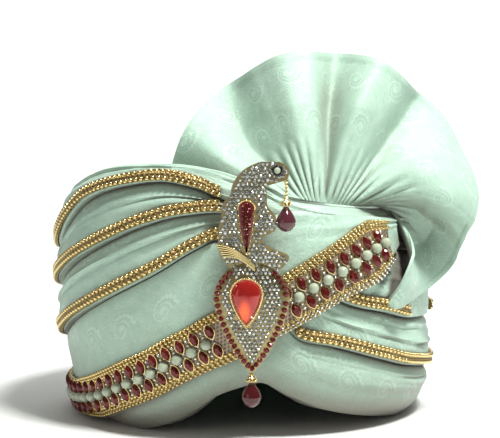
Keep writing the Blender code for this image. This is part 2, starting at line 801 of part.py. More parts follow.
def add_brooch():
    """Medallion, plume, leaf and eyelet soldered into one, with what sits on them."""
    frame = add("brooch_frame", slab(drop_outline(MEDAL_WIDE, MEDAL_TALL, MEDAL_TOP, BROOCH_X),
                                     BROOCH_Y, BROOCH_THICK, MEDAL_BEVEL), GOLD, 0.3, 1.0)
    base = MEDAL_TOP - PLUME_DOWN
    stem = BROOCH_X + PLUME_SIDE
    left = [(stem + PLUME_TALL * row[1], base + PLUME_TALL * row[0]) for row in PLUME]
    right = [(stem + PLUME_TALL * row[2], base + PLUME_TALL * row[0]) for row in PLUME]
    plume = slab(left[::-1] + right, BROOCH_Y, BROOCH_THICK - PLUME_INSET)
    join(frame, add("plume_plate", plume, GOLD, 0.3, 1.0))
    stone_top = MEDAL_TOP - CENTRE_DOWN
    front = BROOCH_Y - STONE_SEAT - CENTRE_DEEP
    centre = slab(drop_outline(CENTRE_WIDE, CENTRE_TALL, stone_top, BROOCH_X - CENTRE_SIDE, 16),
                  front, CENTRE_DEEP, CENTRE_BEVEL)
    add("centre_stone", centre, RED, 0.1)
    inlay = drop_outline(0.3 * INLAY_TALL, INLAY_TALL, base + 0.64 * PLUME_TALL, stem - INLAY_SIDE, 12)
    front = BROOCH_Y - STONE_SEAT - INLAY_THICK
    add("plume_inlay", slab(inlay, front, INLAY_THICK, INLAY_BEVEL), MAROON, 0.2)
    eye_x = stem + 0.20 * PLUME_TALL
    eye_z = base + 0.92 * PLUME_TALL
    angles = [math.tau * index / EYE_SIDES for index in range(EYE_SIDES)]
    radius = EYE_WIDE / 2
    eye = [(eye_x + radius * math.cos(angle), eye_z + radius * math.sin(angle)) for angle in angles]
    front = BROOCH_Y - STONE_SEAT - EYE_THICK
    add("eye_bead", slab(eye, front, EYE_THICK, EYE_BEVEL), PEARL, 0.2)
    return stem, base


def turned(profile, x, y, sides=12):
    """Round piece turned about an upright line, from (radius, height) rows, bottom to top."""
    bm = bmesh.new()
    rings = []
    for radius, height in profile:
        rings.append([bm.verts.new((x + radius * math.cos(math.tau * i / sides),
                                    y + radius * math.sin(math.tau * i / sides), height))
                      for i in range(sides)])
    for low, high in zip(rings, rings[1:]):
        for j in range(sides):
            bm.faces.new((low[j], low[(j + 1) % sides], high[(j + 1) % sides], high[j]))
    bm.faces.new(rings[0][::-1])
    bm.faces.new(rings[-1])
    return bm


def drop_profile(top):
    """Rows of a drop that hangs from a height."""
    rows = [(0.12, 0.0), (0.55, 0.10), (0.92, 0.26), (1.0, 0.42), (0.82, 0.64), (0.45, 0.86), (0.2, 1.0)]
    return [(DROP_WIDE / 2 * wide, top - DROP_TALL * (1 - up)) for wide, up in rows]


def cap_profile(top):
    """Rows of the gold cap over a drop."""
    rows = [(1.0, 0.0), (0.95, 0.35), (0.45, 0.75), (0.25, 1.0)]
    return [(CAP_WIDE / 2 * wide, top - CAP_TALL * (1 - up)) for wide, up in rows]


def add_drops(stem, base):
    """The two hanging drops, their caps and the wire link under the plume's curl."""
    x = stem + 0.28 * PLUME_TALL
    y = BROOCH_Y + BROOCH_THICK / 2
    link_top = base + 0.835 * PLUME_TALL
    cap_top = base + 0.67 * PLUME_TALL
    link = turned([(WIRE, cap_top + HANG_GAP), (WIRE, link_top)], x, y, 8)
    add("drop_link", link, GOLD, 0.3, 1.0)
    point = MEDAL_TOP - MEDAL_TALL - HANG_GAP
    for prefix, top, at in (("", cap_top, x), ("lower_", point, BROOCH_X)):
        add(prefix + "drop_cap", turned(cap_profile(top), at, y), GOLD, 0.3, 1.0)
        add(prefix + "drop", turned(drop_profile(top - CAP_TALL - HANG_GAP), at, y), MAROON, 0.15)


def add_pin(layers, sash):
    """Plain hidden pin between the brooch and the cloth."""
    reach = reach_over([sash[0.0]], PIN_UP - PIN_WINDOW, PIN_UP + PIN_WINDOW)
    surface = place(0, reach, 0).y - HANG_GAP
    back = BROOCH_Y + BROOCH_THICK + HANG_GAP
    bm = bmesh.new()
    bmesh.ops.create_cone(bm, cap_ends=True, segments=8, radius1=PIN_WIDE, radius2=PIN_WIDE,
                          depth=surface - back,
                          matrix=Matrix.Translation((0, (surface + back) / 2, PIN_UP))
                          @ Matrix.Rotation(math.pi / 2, 4, "X"))
    add("brooch_pin", bm, GOLD, 0.4, 1.0)


def stand():
    """Parent all to one empty and centre the whole on its box, foot on the floor."""
    pieces = list(bpy.context.scene.collection.objects)
    corners = [vertex.co for piece in pieces for vertex in piece.data.vertices]
    low = Vector([min(corner[axis] for corner in corners) for axis in range(3)])
    high = Vector([max(corner[axis] for corner in corners) for axis in range(3)])
    holder = bpy.data.objects.new("pagri", None)
    bpy.context.scene.collection.objects.link(holder)
    for piece in pieces:
        piece.parent = holder
    holder.location = (-(low.x + high.x) / 2, -(low.y + high.y) / 2, -low.z)


def build():
    """Make the whole pagri."""
    for old in list(bpy.data.objects):
        bpy.data.objects.remove(old)
    layers = add_wraps()
    add_crown()
    sash = add_sash(layers)
    add_trims(layers)
    add_band_trims(sash)
    add_band(sash)
    add_fan()
    stem, base = add_brooch()
    add_drops(stem, base)
    add_pin(layers, sash)
    stand()


build()
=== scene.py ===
import math
import random
from math import cos, pi, radians, sin, tau

import bmesh
import bpy
import numpy
from mathutils import Matrix, Vector, noise


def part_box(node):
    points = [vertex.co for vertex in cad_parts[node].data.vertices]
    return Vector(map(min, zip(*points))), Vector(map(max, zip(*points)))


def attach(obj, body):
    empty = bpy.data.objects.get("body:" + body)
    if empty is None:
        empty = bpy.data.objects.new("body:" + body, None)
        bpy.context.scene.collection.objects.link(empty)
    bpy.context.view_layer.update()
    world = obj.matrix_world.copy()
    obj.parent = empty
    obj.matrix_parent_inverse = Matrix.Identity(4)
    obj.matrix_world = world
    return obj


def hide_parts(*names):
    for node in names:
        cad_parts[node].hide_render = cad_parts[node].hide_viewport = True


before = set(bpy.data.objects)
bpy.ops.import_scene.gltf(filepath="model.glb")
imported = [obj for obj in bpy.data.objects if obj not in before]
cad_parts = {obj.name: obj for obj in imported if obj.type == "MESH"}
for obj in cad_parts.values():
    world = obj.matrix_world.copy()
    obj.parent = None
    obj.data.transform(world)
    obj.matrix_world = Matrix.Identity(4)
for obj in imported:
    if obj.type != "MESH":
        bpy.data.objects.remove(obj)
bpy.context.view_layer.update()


# Studio: a pale floor bent up into a backdrop, a small soft key from high at the right, a weak warm
# fill from the left and a pale surround. The camera looks down a little on the front, as in the photo.
scene = bpy.context.scene
crown_low, crown_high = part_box("crown")
AXIS = Vector(((crown_low[0] + crown_high[0]) / 2, (crown_low[1] + crown_high[1]) / 2, 0))
VIEW_DISTANCE = 1.10
VIEW_RISE = radians(4)
VIEW_SIDE = 0.0054
VIEW_HEIGHT = 0.126
VIEW_LENS = 117
LIGHT_TARGET = 0.11


def aim(thing, spot, target):
    """Put a camera or light at a spot, looking at a target."""
    thing.location = spot
    thing.rotation_euler = (Vector(target) - Vector(spot)).to_track_quat("-Z", "Y").to_euler()
    scene.collection.objects.link(thing)


def soft_light(name, spot, size, power, colour):
    """Square soft box aimed at the pagri."""
    lamp = bpy.data.lights.new(name, "AREA")
    lamp.size = size
    lamp.energy = power
    lamp.color = colour
    aim(bpy.data.objects.new(name, lamp), spot, AXIS + Vector((0, 0, LIGHT_TARGET)))


view_target = AXIS + Vector((VIEW_SIDE, 0, VIEW_HEIGHT))
camera = bpy.data.objects.new("camera", bpy.data.cameras.new("camera"))
camera.data.lens = VIEW_LENS
camera.data.clip_start = 0.01
aim(camera, view_target + VIEW_DISTANCE * Vector((0, -cos(VIEW_RISE), sin(VIEW_RISE))), view_target)
scene.camera = camera

soft_light("key", (0.36, -0.46, 1.32), 0.24, 25, (1.0, 1.0, 0.96))
soft_light("top", (0.50, 0.10, 1.10), 0.5, 2.5, (0.97, 1.0, 0.99))
soft_light("fill", (-1.00, -1.00, 0.35), 0.8, 1.3, (1.0, 0.86, 0.82))
soft_light("back", (0.0, 1.3, 1.6), 1.6, 26, (1.0, 1.0, 1.0))
bpy.data.objects["back"].rotation_euler = (radians(40), 0, 0)
surround = bpy.data.worlds.new("surround")
surround.use_nodes = True
surround.node_tree.nodes["Background"].inputs["Color"].default_value = (0.93, 0.95, 0.95, 1)
surround.node_tree.nodes["Background"].inputs["Strength"].default_value = 0.17
scene.world = surround

FLOOR_HALF = 2.4
BACKDROP_FAR = 1.6
BACKDROP_BEND = 0.5
BACKDROP_STEPS = 12
sweep = [(-FLOOR_HALF, 0.0), (BACKDROP_FAR, 0.0)]
for index in range(1, BACKDROP_STEPS + 1):
    angle = radians(90 * index / BACKDROP_STEPS)
    sweep.append((BACKDROP_FAR + BACKDROP_BEND * sin(angle), BACKDROP_BEND * (1 - cos(angle))))
sweep.append((BACKDROP_FAR + BACKDROP_BEND, FLOOR_HALF))
corners = [(side * FLOOR_HALF, y, z) for y, z in sweep for side in (-1, 1)]
floor_mesh = bpy.data.meshes.new("floor")
floor_mesh.from_pydata(corners, [], [(i, i + 1, i + 3, i + 2) for i in range(0, len(corners) - 2, 2)])
floor_mesh.shade_smooth()
floor = bpy.data.objects.new("floor", floor_mesh)
scene.collection.objects.link(floor)
paper = bpy.data.materials.new("pale_paper")
paper.use_nodes = True
paper.node_tree.nodes["Principled BSDF"].inputs["Base Color"].default_value = (0.86, 0.87, 0.86, 1)
paper.node_tree.nodes["Principled BSDF"].inputs["Roughness"].default_value = 0.8
floor_mesh.materials.append(paper)
scene.view_settings.view_transform = "Standard"


# Wound wraps: six metres of pale mint jacquard satin wound over a stiff base in four padded
# rolls. Each roll's lower lip is folded under and stands over the roll below, stitched inside.
HEAD_WIDE = 0.152
HEAD_LONG = 0.190
WALL_WIDE = 0.237
WALL_LONG = 0.257
WRAP_TALL = 0.168
LIP_PROUD = 0.0055
FOOT_ROUND = 0.010
FOOT_ROUND_TALL = 0.015
CREST_REACH = 0.100
WELL_REACH = 0.088
WELL_DROP = 0.009
CROWN_EDGE_DROP = 0.020
WRAP_GAP = 0.0006
LIP_SEAT = 0.0005
LIP_ROUND = 0.0002
LIP_SHARE = 0.22
TUCK_WIDE = 0.004
TUCK_DROP = 0.002
FOOT_INSET = 0.006
RIPPLE = 0.0009
RIPPLE_FINE = 0.00035
PUFF_TURN = -43
PUFF_RISE = 0.0034
WRAP_TURNS = 300
WRAP_ROWS = 22
SHOULDER = 0.25
WELL_ROWS = 8
FOOT_ROWS = 12
RIM_ROWS = 20
RIM_SHARE = 0.4
CLOTH_SHARP = 60
# Wall outline: share of WRAP_TALL, share of the half width at the left, the same at the right
WALL = [
    (0.00, 0.905, 1.000), (0.09, 0.915, 1.005), (0.17, 0.935, 1.010), (0.30, 0.970, 1.020),
    (0.45, 1.000, 1.015), (0.62, 1.000, 1.000), (0.75, 0.985, 0.985), (0.87, 0.955, 0.955),
    (1.00, 0.880, 0.880),
]
# Lines round the wall: turn from the front toward the viewer's left, share of WRAP_TALL
CREST = [
    (-75, 0.825), (-60, 0.820), (-40, 0.830), (-25, 0.848), (-15, 0.868), (-8, 0.905), (0, 0.945),
    (8, 0.972), (22, 0.993), (34, 0.995), (46, 0.985), (60, 0.955), (70, 0.930), (90, 0.885),
    (130, 0.875), (180, 0.880), (230, 0.865), (270, 0.825),
]
TOP_LINE = [
    (-50, 0.670), (-25, 0.715), (-10, 0.790), (0, 0.850), (6, 0.870), (13, 0.905), (25, 0.928),
    (40, 0.906), (55, 0.857), (68, 0.768), (80, 0.680), (95, 0.620), (130, 0.585), (180, 0.600),
    (230, 0.610), (270, 0.630),
]
MIDDLE_LINE = [
    (-60, 0.400), (-46, 0.440), (-34, 0.475), (-25, 0.530), (-15, 0.640), (-7, 0.745), (0, 0.805),
    (7, 0.822), (18, 0.808), (30, 0.768), (44, 0.701), (58, 0.630), (76, 0.541), (95, 0.470),
    (130, 0.405), (180, 0.375), (230, 0.370), (270, 0.380),
]
LOWER_LINE = [
    (-60, 0.217), (-45, 0.265), (-35, 0.303), (-26, 0.336), (-18, 0.358), (-10, 0.460), (-4, 0.600),
    (2, 0.700), (7, 0.722), (13, 0.690), (25, 0.601), (41, 0.505), (60, 0.402), (75, 0.330), (95, 0.262),
    (130, 0.202), (180, 0.173), (230, 0.165), (272, 0.173),
]
RIM_LINE = [
    (-75, 0.000), (-54, 0.030), (-43, 0.052), (-29, 0.090), (-22, 0.122), (-15, 0.157), (-6, 0.205),
    (0, 0.188), (8, 0.155), (15, 0.104), (23, 0.054), (31, 0.021), (40, 0.000), (120, 0.000),
    (200, 0.000),
]
# How far each lip stands out: turn, share of LIP_PROUD
TOP_LIP = [(-72, 1.0), (-56, 0.0), (-6, 0.0), (5, 1.0), (90, 1.0), (180, 1.0)]
MIDDLE_LIP = [(-40, 1.0), (-30, 0.9), (-22, 0.0), (-6, 0.0), (4, 1.0), (90, 1.0), (200, 1.0)]
LOWER_LIP = [(-30, 1.0), (-24, 0.8), (-18, 0.35), (-10, 0.0), (6, 0.0), (13, 1.0), (90, 1.0), (200, 1.0)]
RIM_LIP = [(-40, 1.0), (-18, 0.6), (-8, 0.0), (100, 0.0), (125, 0.8), (200, 1.0)]
# The slant between wraps: lowest height at the hollow, its rise with the outer line (shares)
SLANTS = {"top": (0.600, 0.30, 0.585), "middle": (0.393, 0.50, 0.370), "lower": (0.180, 0.55, 0.165)}
# Soft creases along each wrap: share of its height, share it drifts round the head, depth in metres
CREASES = {
    "top_roll": [(0.42, 0.10, 0.0009), (0.72, -0.08, 0.0007)],
    "second_wrap": [(0.52, 0.12, 0.0012), (0.78, -0.05, 0.0006)],
    "third_wrap": [(0.50, 0.14, 0.0013), (0.74, -0.06, 0.0007)],
    "rim_wrap": [(0.62, 0.08, 0.0008)],
}


def curve(rows, at, column=1, closed=True):
    """Value at a turn, on a smooth curve through the rows that never overshoots them."""
    points = sorted((row[0], row[column]) for row in rows)
    if closed:
        at = (at - points[0][0]) % 360 + points[0][0]
        points = [(points[-1][0] - 360, points[-1][1])] + points
        points += [(points[1][0] + 360, points[1][1]), (points[2][0] + 360, points[2][1])]
    at = min(max(at, points[0][0]), points[-1][0])
    last = len(points) - 1
    spot = next(i for i in range(last) if at <= points[i + 1][0])

    def step(i):
        return (points[i + 1][1] - points[i][1]) / (points[i + 1][0] - points[i][0])

    def slope(i):
        if i in (0, last):
            return step(min(i, last - 1))
        before, after = step(i - 1), step(i)
        return 0.0 if before * after <= 0 else 2 * before * after / (before + after)

    wide = points[spot + 1][0] - points[spot][0]
    t = (at - points[spot][0]) / wide
    return (points[spot][1] * (1 + 2 * t) * (1 - t) ** 2 + slope(spot) * wide * t * (1 - t) ** 2
            + points[spot + 1][1] * t * t * (3 - 2 * t) - slope(spot + 1) * wide * t * t * (1 - t))


def place(turn, reach, height):
    """Point at a turn, a reach and a height: the ovals grow from the hollow's to the wall's."""
    stretch = (WALL_LONG - HEAD_LONG) / (WALL_WIDE - HEAD_WIDE)
    angle = radians(turn)
    depth = HEAD_LONG / 2 + stretch * (reach - HEAD_WIDE / 2)
    return AXIS + Vector((-reach * sin(angle), -depth * cos(angle), height))


def outward(turn):
    """Level direction straight out of the wall at a turn."""
    out = place(turn, WALL_WIDE / 2, 0) - AXIS
    return Vector((out.x / WALL_WIDE ** 2, out.y / WALL_LONG ** 2, 0)).normalized()


def rim(turn):
    """Height of the foot at a turn."""
    return WRAP_TALL * curve(RIM_LINE, turn)


def wall(turn, height):
    """Reach of the wall before its lips, rounded in at the foot."""
    side = 0.5 + 0.5 * sin(radians(turn))
    left = curve(WALL, height / WRAP_TALL, 1, False)
    right = curve(WALL, height / WRAP_TALL, 2, False)
    above = min(max((height - rim(turn)) / FOOT_ROUND_TALL, 0), 1)
    return WALL_WIDE / 2 * (right + (left - right) * side) - FOOT_ROUND * (1 - above) ** 2


LINES = {
    "top": (TOP_LINE, TOP_LIP),
    "middle": (MIDDLE_LINE, MIDDLE_LIP),
    "lower": (LOWER_LINE, LOWER_LIP),
}


def line_at(name, turn):
    """Height outside, lip and height at the hollow of the line between two wraps."""
    rows, lips = LINES[name]
    base, rise, lowest = SLANTS[name]
    share = curve(rows, turn)
    return WRAP_TALL * share, LIP_PROUD * curve(lips, turn), WRAP_TALL * (base + rise * (share - lowest))


def ripple(turn, up, seed):
    """Small uneven swell of hand-wound cloth, drawn out along the wrap, in metres."""
    angle = radians(turn)
    spot = Vector((2.2 * cos(angle), 2.2 * sin(angle), 5.0 * up + seed))
    fine = Vector((6.5 * cos(angle), 6.5 * sin(angle), 16.0 * up + seed))
    return RIPPLE * noise.noise(spot) + RIPPLE_FINE * noise.noise(fine)


def crease(name, turn, up):
    """Depth of a wrap's long soft creases: a sharp valley under a low rounded ridge."""
    depth = 0.0
    for share, drift, deep in CREASES[name]:
        away = up - share - drift * sin(radians(turn + 40))
        depth += deep * (0.9 * math.exp(-((away - 0.05) / 0.06) ** 2) - math.exp(-(away / 0.022) ** 2))
    return depth


def puff(turn, up):
    """Small crumpled puff of the second wrap between the band's end and the right trim."""
    beside = (turn + 180) % 360 - 180 - PUFF_TURN
    lump = PUFF_RISE * math.exp(-(beside / 9) ** 2) * math.exp(-((up - 0.36) / 0.26) ** 2)
    return lump * (1 + 0.5 * sin(beside * 0.9 + up * 9) + 0.3 * sin(beside * 0.5 - up * 14))


def outer_face(name, turn, low, high, proud):
    """Outer face of a wrap, from its lip up to where it goes under the next."""
    face = []
    for index in range(WRAP_ROWS):
        up = index / (WRAP_ROWS - 1)
        height = low + up * (high - low)
        swell = 0.82 + 0.18 * sin(min(up / LIP_SHARE, 1) * pi / 2)
        if up > LIP_SHARE:
            swell = max(1 - ((up - LIP_SHARE) / (1 - LIP_SHARE)) ** 2, 0) ** 0.62
        soft = sin(pi * up) ** 0.5
        reach = wall(turn, height) + swell * proud - LIP_SEAT * (index == WRAP_ROWS - 1)
        reach += soft * (1.4 * ripple(turn, up, len(name)) + 1.5 * crease(name, turn, up))
        if name == "second_wrap":
            reach += soft * puff(turn, up)
        face.append((reach, height))
    return face


def under_lip(name, turn):
    """Underside of a wrap from the hollow out to its folded lip."""
    height, lip, inner = line_at(name, turn)
    height += WRAP_GAP
    reach = wall(turn, height)
    return [(HEAD_WIDE / 2, inner + WRAP_GAP), (reach - LIP_SEAT, height),
            (reach + 0.45 * lip, height - LIP_ROUND), (reach + 0.70 * lip, height + LIP_ROUND)]


def over_top(name, turn):
    """Top of a wrap, from under the next lip in to the hollow."""
    inner = line_at(name, turn)[2]
    return [(HEAD_WIDE / 2 + TUCK_WIDE, inner + 0.0004), (HEAD_WIDE / 2, inner - TUCK_DROP)]


def top_roll_section(turn):
    """Section of the top roll, up over its crest and down into the well."""
    low, lip, inner = line_at("top", turn)
    crest = WRAP_TALL * curve(CREST, turn)
    shoulder = low + SHOULDER * (crest - low)
    out = wall(turn, shoulder) + lip
    section = under_lip("top", turn)
    for index in range(4):
        up = 0.12 + LIP_SHARE * index
        section.append((wall(turn, low) + lip * (0.82 + 0.18 * sin(up * pi / 2)),
                        low + WRAP_GAP + up * (shoulder - low)))
    for index in range(WRAP_ROWS):
        share = index / (WRAP_ROWS - 1)
        angle = share * pi / 2
        swell = sin(pi * share) ** 0.5
        more = 1.5 * swell * (ripple(turn, share, 3.0) + crease("top_roll", turn, share))
        section.append((CREST_REACH + (out - CREST_REACH + more) * cos(angle),
                        shoulder + (crest - shoulder + more) * sin(angle)))
    for index in range(1, WELL_ROWS):
        angle = index / WELL_ROWS * pi / 2
        section.append((CREST_REACH - (CREST_REACH - WELL_REACH) * sin(angle),
                        crest - WELL_DROP * (1 - cos(angle))))
    section.append((WELL_REACH, crest - WELL_DROP))
    section.append((HEAD_WIDE / 2, crest - CROWN_EDGE_DROP))
    return section


def wrap_section(name, turn, over, under):
    """Section of a wrap between two lines."""
    low, lip, _ = line_at(under, turn)
    high = line_at(over, turn)[0]
    return under_lip(under, turn) + outer_face(name, turn, low + WRAP_GAP, high, lip) + over_top(over, turn)


def rim_wrap_section(turn):
    """Section of the lowest wrap, round at its foot."""
    foot = rim(turn)
    high = line_at("lower", turn)[0]
    proud = LIP_PROUD * curve(RIM_LIP, turn)
    section = [(HEAD_WIDE / 2, foot), (wall(turn, foot) - FOOT_INSET, foot)]
    for index in range(FOOT_ROWS):
        height = foot + FOOT_ROUND_TALL * (index / FOOT_ROWS) ** 1.4
        section.append((wall(turn, height) + 0.5 * proud * index / FOOT_ROWS, height))
    for index in range(RIM_ROWS):
        up = index / (RIM_ROWS - 1)
        height = foot + FOOT_ROUND_TALL + up * (high - foot - FOOT_ROUND_TALL)
        swell = proud * (0.5 + 0.5 * sin(min(up / RIM_SHARE, 1) * pi / 2))
        if up > RIM_SHARE:
            swell = proud * max(1 - ((up - RIM_SHARE) / (1 - RIM_SHARE)) ** 2, 0) ** 0.6
        more = sin(pi * up) ** 0.5 * (ripple(turn, up, 9.0) + crease("rim_wrap", turn, up))
        section.append((wall(turn, height) + swell + more, height))
    return section + over_top("lower", turn)


def add_piece(name, mesh, slot_name, *nodes):
    """Link a finished mesh as a piece that rides on root and stands for some nodes."""
    piece = bpy.data.objects.new(name, mesh)
    scene.collection.objects.link(piece)
    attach(piece, "root")
    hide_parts(*nodes)
    return piece


def closed_mesh(name, bm, finish, sharp):
    """Mesh of a closed shape, its faces turned outwards and its edges sharp from an angle."""
    bmesh.ops.recalc_face_normals(bm, faces=bm.faces)
    if bm.calc_volume(signed=True) < 0:
        bmesh.ops.reverse_faces(bm, faces=bm.faces)
    mesh = bpy.data.meshes.new(name)
    bm.to_mesh(mesh)
    bm.free()
    mesh.shade_smooth()
    mesh.set_sharp_from_angle(angle=radians(sharp))
    mesh.materials.append(finish.material)
    return mesh


def cloth_mesh(name, rows, finish, around=True):
    """Closed cloth mesh through rows of points, with a flat layout in metres for its weave."""
    bm = bmesh.new()
    flat = bm.loops.layers.uv.new("cloth")
    verts = [[bm.verts.new(point) for point in row] for row in rows]
    count = len(rows[0])
    spread = [0.0]
    for first, second in zip(rows, rows[1:] + rows[:1]):
        spread.append(spread[-1] + (second[count // 2] - first[count // 2]).length)
    rise = []
    for row in rows:
        up = [0.0]
        for low, high in zip(row, row[1:] + row[:1]):
            up.append(up[-1] + (high - low).length)
        rise.append(up)
    last = len(rows) if around else len(rows) - 1
    for i in range(last):
        k = (i + 1) % len(rows)
        for j in range(count):
            m = (j + 1) % count
            face = bm.faces.new((verts[i][j], verts[k][j], verts[k][m], verts[i][m]))
            places = ((i, j), (i + 1, j), (i + 1, j + 1), (i, j + 1))
            for loop, (a, b) in zip(face.loops, places):
                loop[flat].uv = (spread[a], rise[a % len(rows)][b])
    if not around:
        for end in (verts[0], verts[-1]):
            half = count // 2
            for j in range(half - 1):
                bm.faces.new((end[j], end[j + 1], end[count - 2 - j], end[count - 1 - j]))
    return closed_mesh(name, bm, finish, CLOTH_SHARP)


def math_node(operation, swapped=False):
    """Method that adds a Math node of one operation to a value's finish."""
    def method(value, *others):
        given = (*others, value) if swapped else (value, *others)
        return value.finish.node("ShaderNodeMath", {"operation": operation}, dict(enumerate(given)))
    return method


class Value:
    """A socket of a finish, so that arithmetic on it adds the finish's Math nodes."""

    __add__, __radd__ = math_node("ADD"), math_node("ADD", True)
    __sub__, __rsub__ = math_node("SUBTRACT"), math_node("SUBTRACT", True)
    __mul__, __rmul__ = math_node("MULTIPLY"), math_node("MULTIPLY", True)
    __truediv__, __rtruediv__ = math_node("DIVIDE"), math_node("DIVIDE", True)
    __pow__, __rpow__ = math_node("POWER"), math_node("POWER", True)
    __abs__ = math_node("ABSOLUTE")
    floor = math_node("FLOOR")
    fract = math_node("FRACT")
    sine = math_node("SINE")
    angle = math_node("ARCTAN2")

    def __init__(self, finish, socket):
        self.finish = finish
        self.socket = socket

    def above(self, low, high):
        """0 below low, 1 above high, smooth between."""
        return self.finish.node("ShaderNodeMapRange", {"interpolation_type": "SMOOTHSTEP"},
                                {"Value": self, "From Min": low, "From Max": high})

    def within(self, low, high, soft):
        """1 between low and high, 0 outside."""
        return self.above(low - soft, low + soft) * (1 - self.above(high - soft, high + soft))


class Finish:
    """One material: a Principled shader and the nodes that feed it."""

    def __init__(self, name, colour, roughness, metallic=0.0, **constants):
        self.material = bpy.data.materials.new(name)
        self.material.use_nodes = True
        self.tree = self.material.node_tree
        self.shader = self.tree.nodes["Principled BSDF"]
        self.shade(Base_Color=(*colour, 1), Roughness=roughness, Metallic=metallic, **constants)

    def node(self, kind, settings=None, inputs=None, output=0):
        """Add a node: its settings first, then its sockets' values or links."""
        made = self.tree.nodes.new(kind)
        for key, setting in (settings or {}).items():
            setattr(made, key, setting)
        for key, given in (inputs or {}).items():
            self.feed(made.inputs[key], given)
        return Value(self, made.outputs[output])

    def feed(self, socket, given):
        """Link a value to a socket, or set the socket to a number."""
        if isinstance(given, Value):
            self.tree.links.new(given.socket, socket)
        else:
            socket.default_value = given

    def shade(self, **inputs):
        """Feed the shader's sockets, named with a low line for a space."""
        for key, given in inputs.items():
            self.feed(self.shader.inputs[key.replace("_", " ")], given)

    def grain(self, scale, detail, roughness=0.5):
        """Noise over the piece, from 0 to 1."""
        return self.node("ShaderNodeTexNoise", {}, {"Scale": scale, "Detail": detail, "Roughness": roughness})

    def mix(self, factor, first, second):
        """Blend two colours."""
        return self.node("ShaderNodeMix", {"data_type": "RGBA"}, {0: factor, 6: first, 7: second}, 2)

    def bump(self, height, distance, strength=1.0):
        """Feed a height to the shader's normal."""
        lift = self.node("ShaderNodeBump", {}, {"Height": height, "Distance": distance, "Strength": strength})
        self.shade(Normal=lift)

    def parts(self, spot):
        """The three directions of a vector."""
        split = self.tree.nodes.new("ShaderNodeSeparateXYZ")
        self.feed(split.inputs[0], spot)
        return [Value(self, socket) for socket in split.outputs]

    def flat(self):
        """The two directions of a cloth's flat layout, in metres."""
        return self.parts(self.node("ShaderNodeUVMap", {"uv_map": "cloth"}))[:2]


MINT_DEEP = (0.335, 0.520, 0.410, 1)
MINT_PALE = (0.660, 0.880, 0.740, 1)
# Warm dark brown that is painted into the satin as shade where it is sheltered.
PAINTED_SHADE_WARM = (0.170, 0.115, 0.095, 1)
PAISLEY_TILE = 0.034
STRIPE_PITCH = 0.0026
WEAVE_PITCH = 0.0009


def satin(name):
    """Jacquard satin: paisleys, a satin stripe and a fine weave in tones of one mint, with a painted warm
    shade darkening its sheltered creases and recesses.
    """
    cloth = Finish(name, MINT_PALE[:3], 0.42, Sheen_Weight=0.15, Sheen_Roughness=0.4, Specular_IOR_Level=0.35)
    across, up = cloth.flat()
    tile_up = up / PAISLEY_TILE
    row = tile_up.floor()
    x = (across / PAISLEY_TILE + row * 0.5).fract() - 0.5
    y = tile_up.fract() - 0.5
    round_share = (y.angle(x) / tau + 1.0 + row * 0.5).fract()
    hook = 0.150 + (round_share ** 3) * 0.225
    away = ((x * x + y * y) ** 0.5) / hook
    scallop = (round_share * (tau * 17)).sine() * 0.05
    figure = (1 - away.above(0.30, 0.38)) + away.within(0.52, 0.64, 0.04) * 0.8
    figure = figure + (away + scallop).within(0.84, 1.06, 0.04)
    ground = away.above(1.02, 1.12)
    stripe = ((across + up) * (tau / STRIPE_PITCH)).sine() * 0.5 + 0.5
    vine = cloth.grain(85.0, 0.5)
    scroll = vine.within(0.47, 0.53, 0.015) * ground
    cloud = cloth.grain(24.0, 3.0, 0.6)
    tone = 0.40 + figure * 0.28 + scroll * 0.16 + stripe * ground * 0.10 + (cloud - 0.5) * 0.45
    colour = cloth.mix(tone.above(-0.1, 1.1), MINT_DEEP, MINT_PALE)
    # Painted shade: ambient occlusion darkens the satin's colour toward warm brown in creases, under lips, in
    # hollows and near the floor.
    painted_shade_occlusion = cloth.node("ShaderNodeAmbientOcclusion", {"samples": 6}, {"Distance": 0.10}, 1)
    depth = 1 - painted_shade_occlusion.above(0.10, 0.86)
    cloth.shade(Base_Color=cloth.mix(depth * 0.85, colour, PAINTED_SHADE_WARM),
                Roughness=0.44 - figure * 0.12 + stripe * 0.05)
    warp = (across * (tau / WEAVE_PITCH)).sine()
    weft = (up * (tau / WEAVE_PITCH)).sine()
    crinkle = cloth.grain(75.0, 4.0, 0.65)
    height = figure * 0.22 + stripe * 0.08 + warp * weft * 0.10 + crinkle * 1.1
    cloth.bump(height, 0.0006, 0.6)
    return cloth


cloth_finish = satin("mint_satin")
turns = [360 * index / WRAP_TURNS for index in range(WRAP_TURNS)]
makers = {
    "top_roll": top_roll_section,
    "second_wrap": lambda turn: wrap_section("second_wrap", turn, "top", "middle"),
    "third_wrap": lambda turn: wrap_section("third_wrap", turn, "middle", "lower"),
    "rim_wrap": rim_wrap_section,
}
wrap_sections = {}
for node, make in makers.items():
    wrap_sections[node] = [make(turn) for turn in turns]
    rows = [[place(turn, *spot) for spot in section] for turn, section in zip(turns, wrap_sections[node])]
    wrap = add_piece(node + "_cloth", cloth_mesh(node + "_cloth", rows, cloth_finish), "cloth", node)


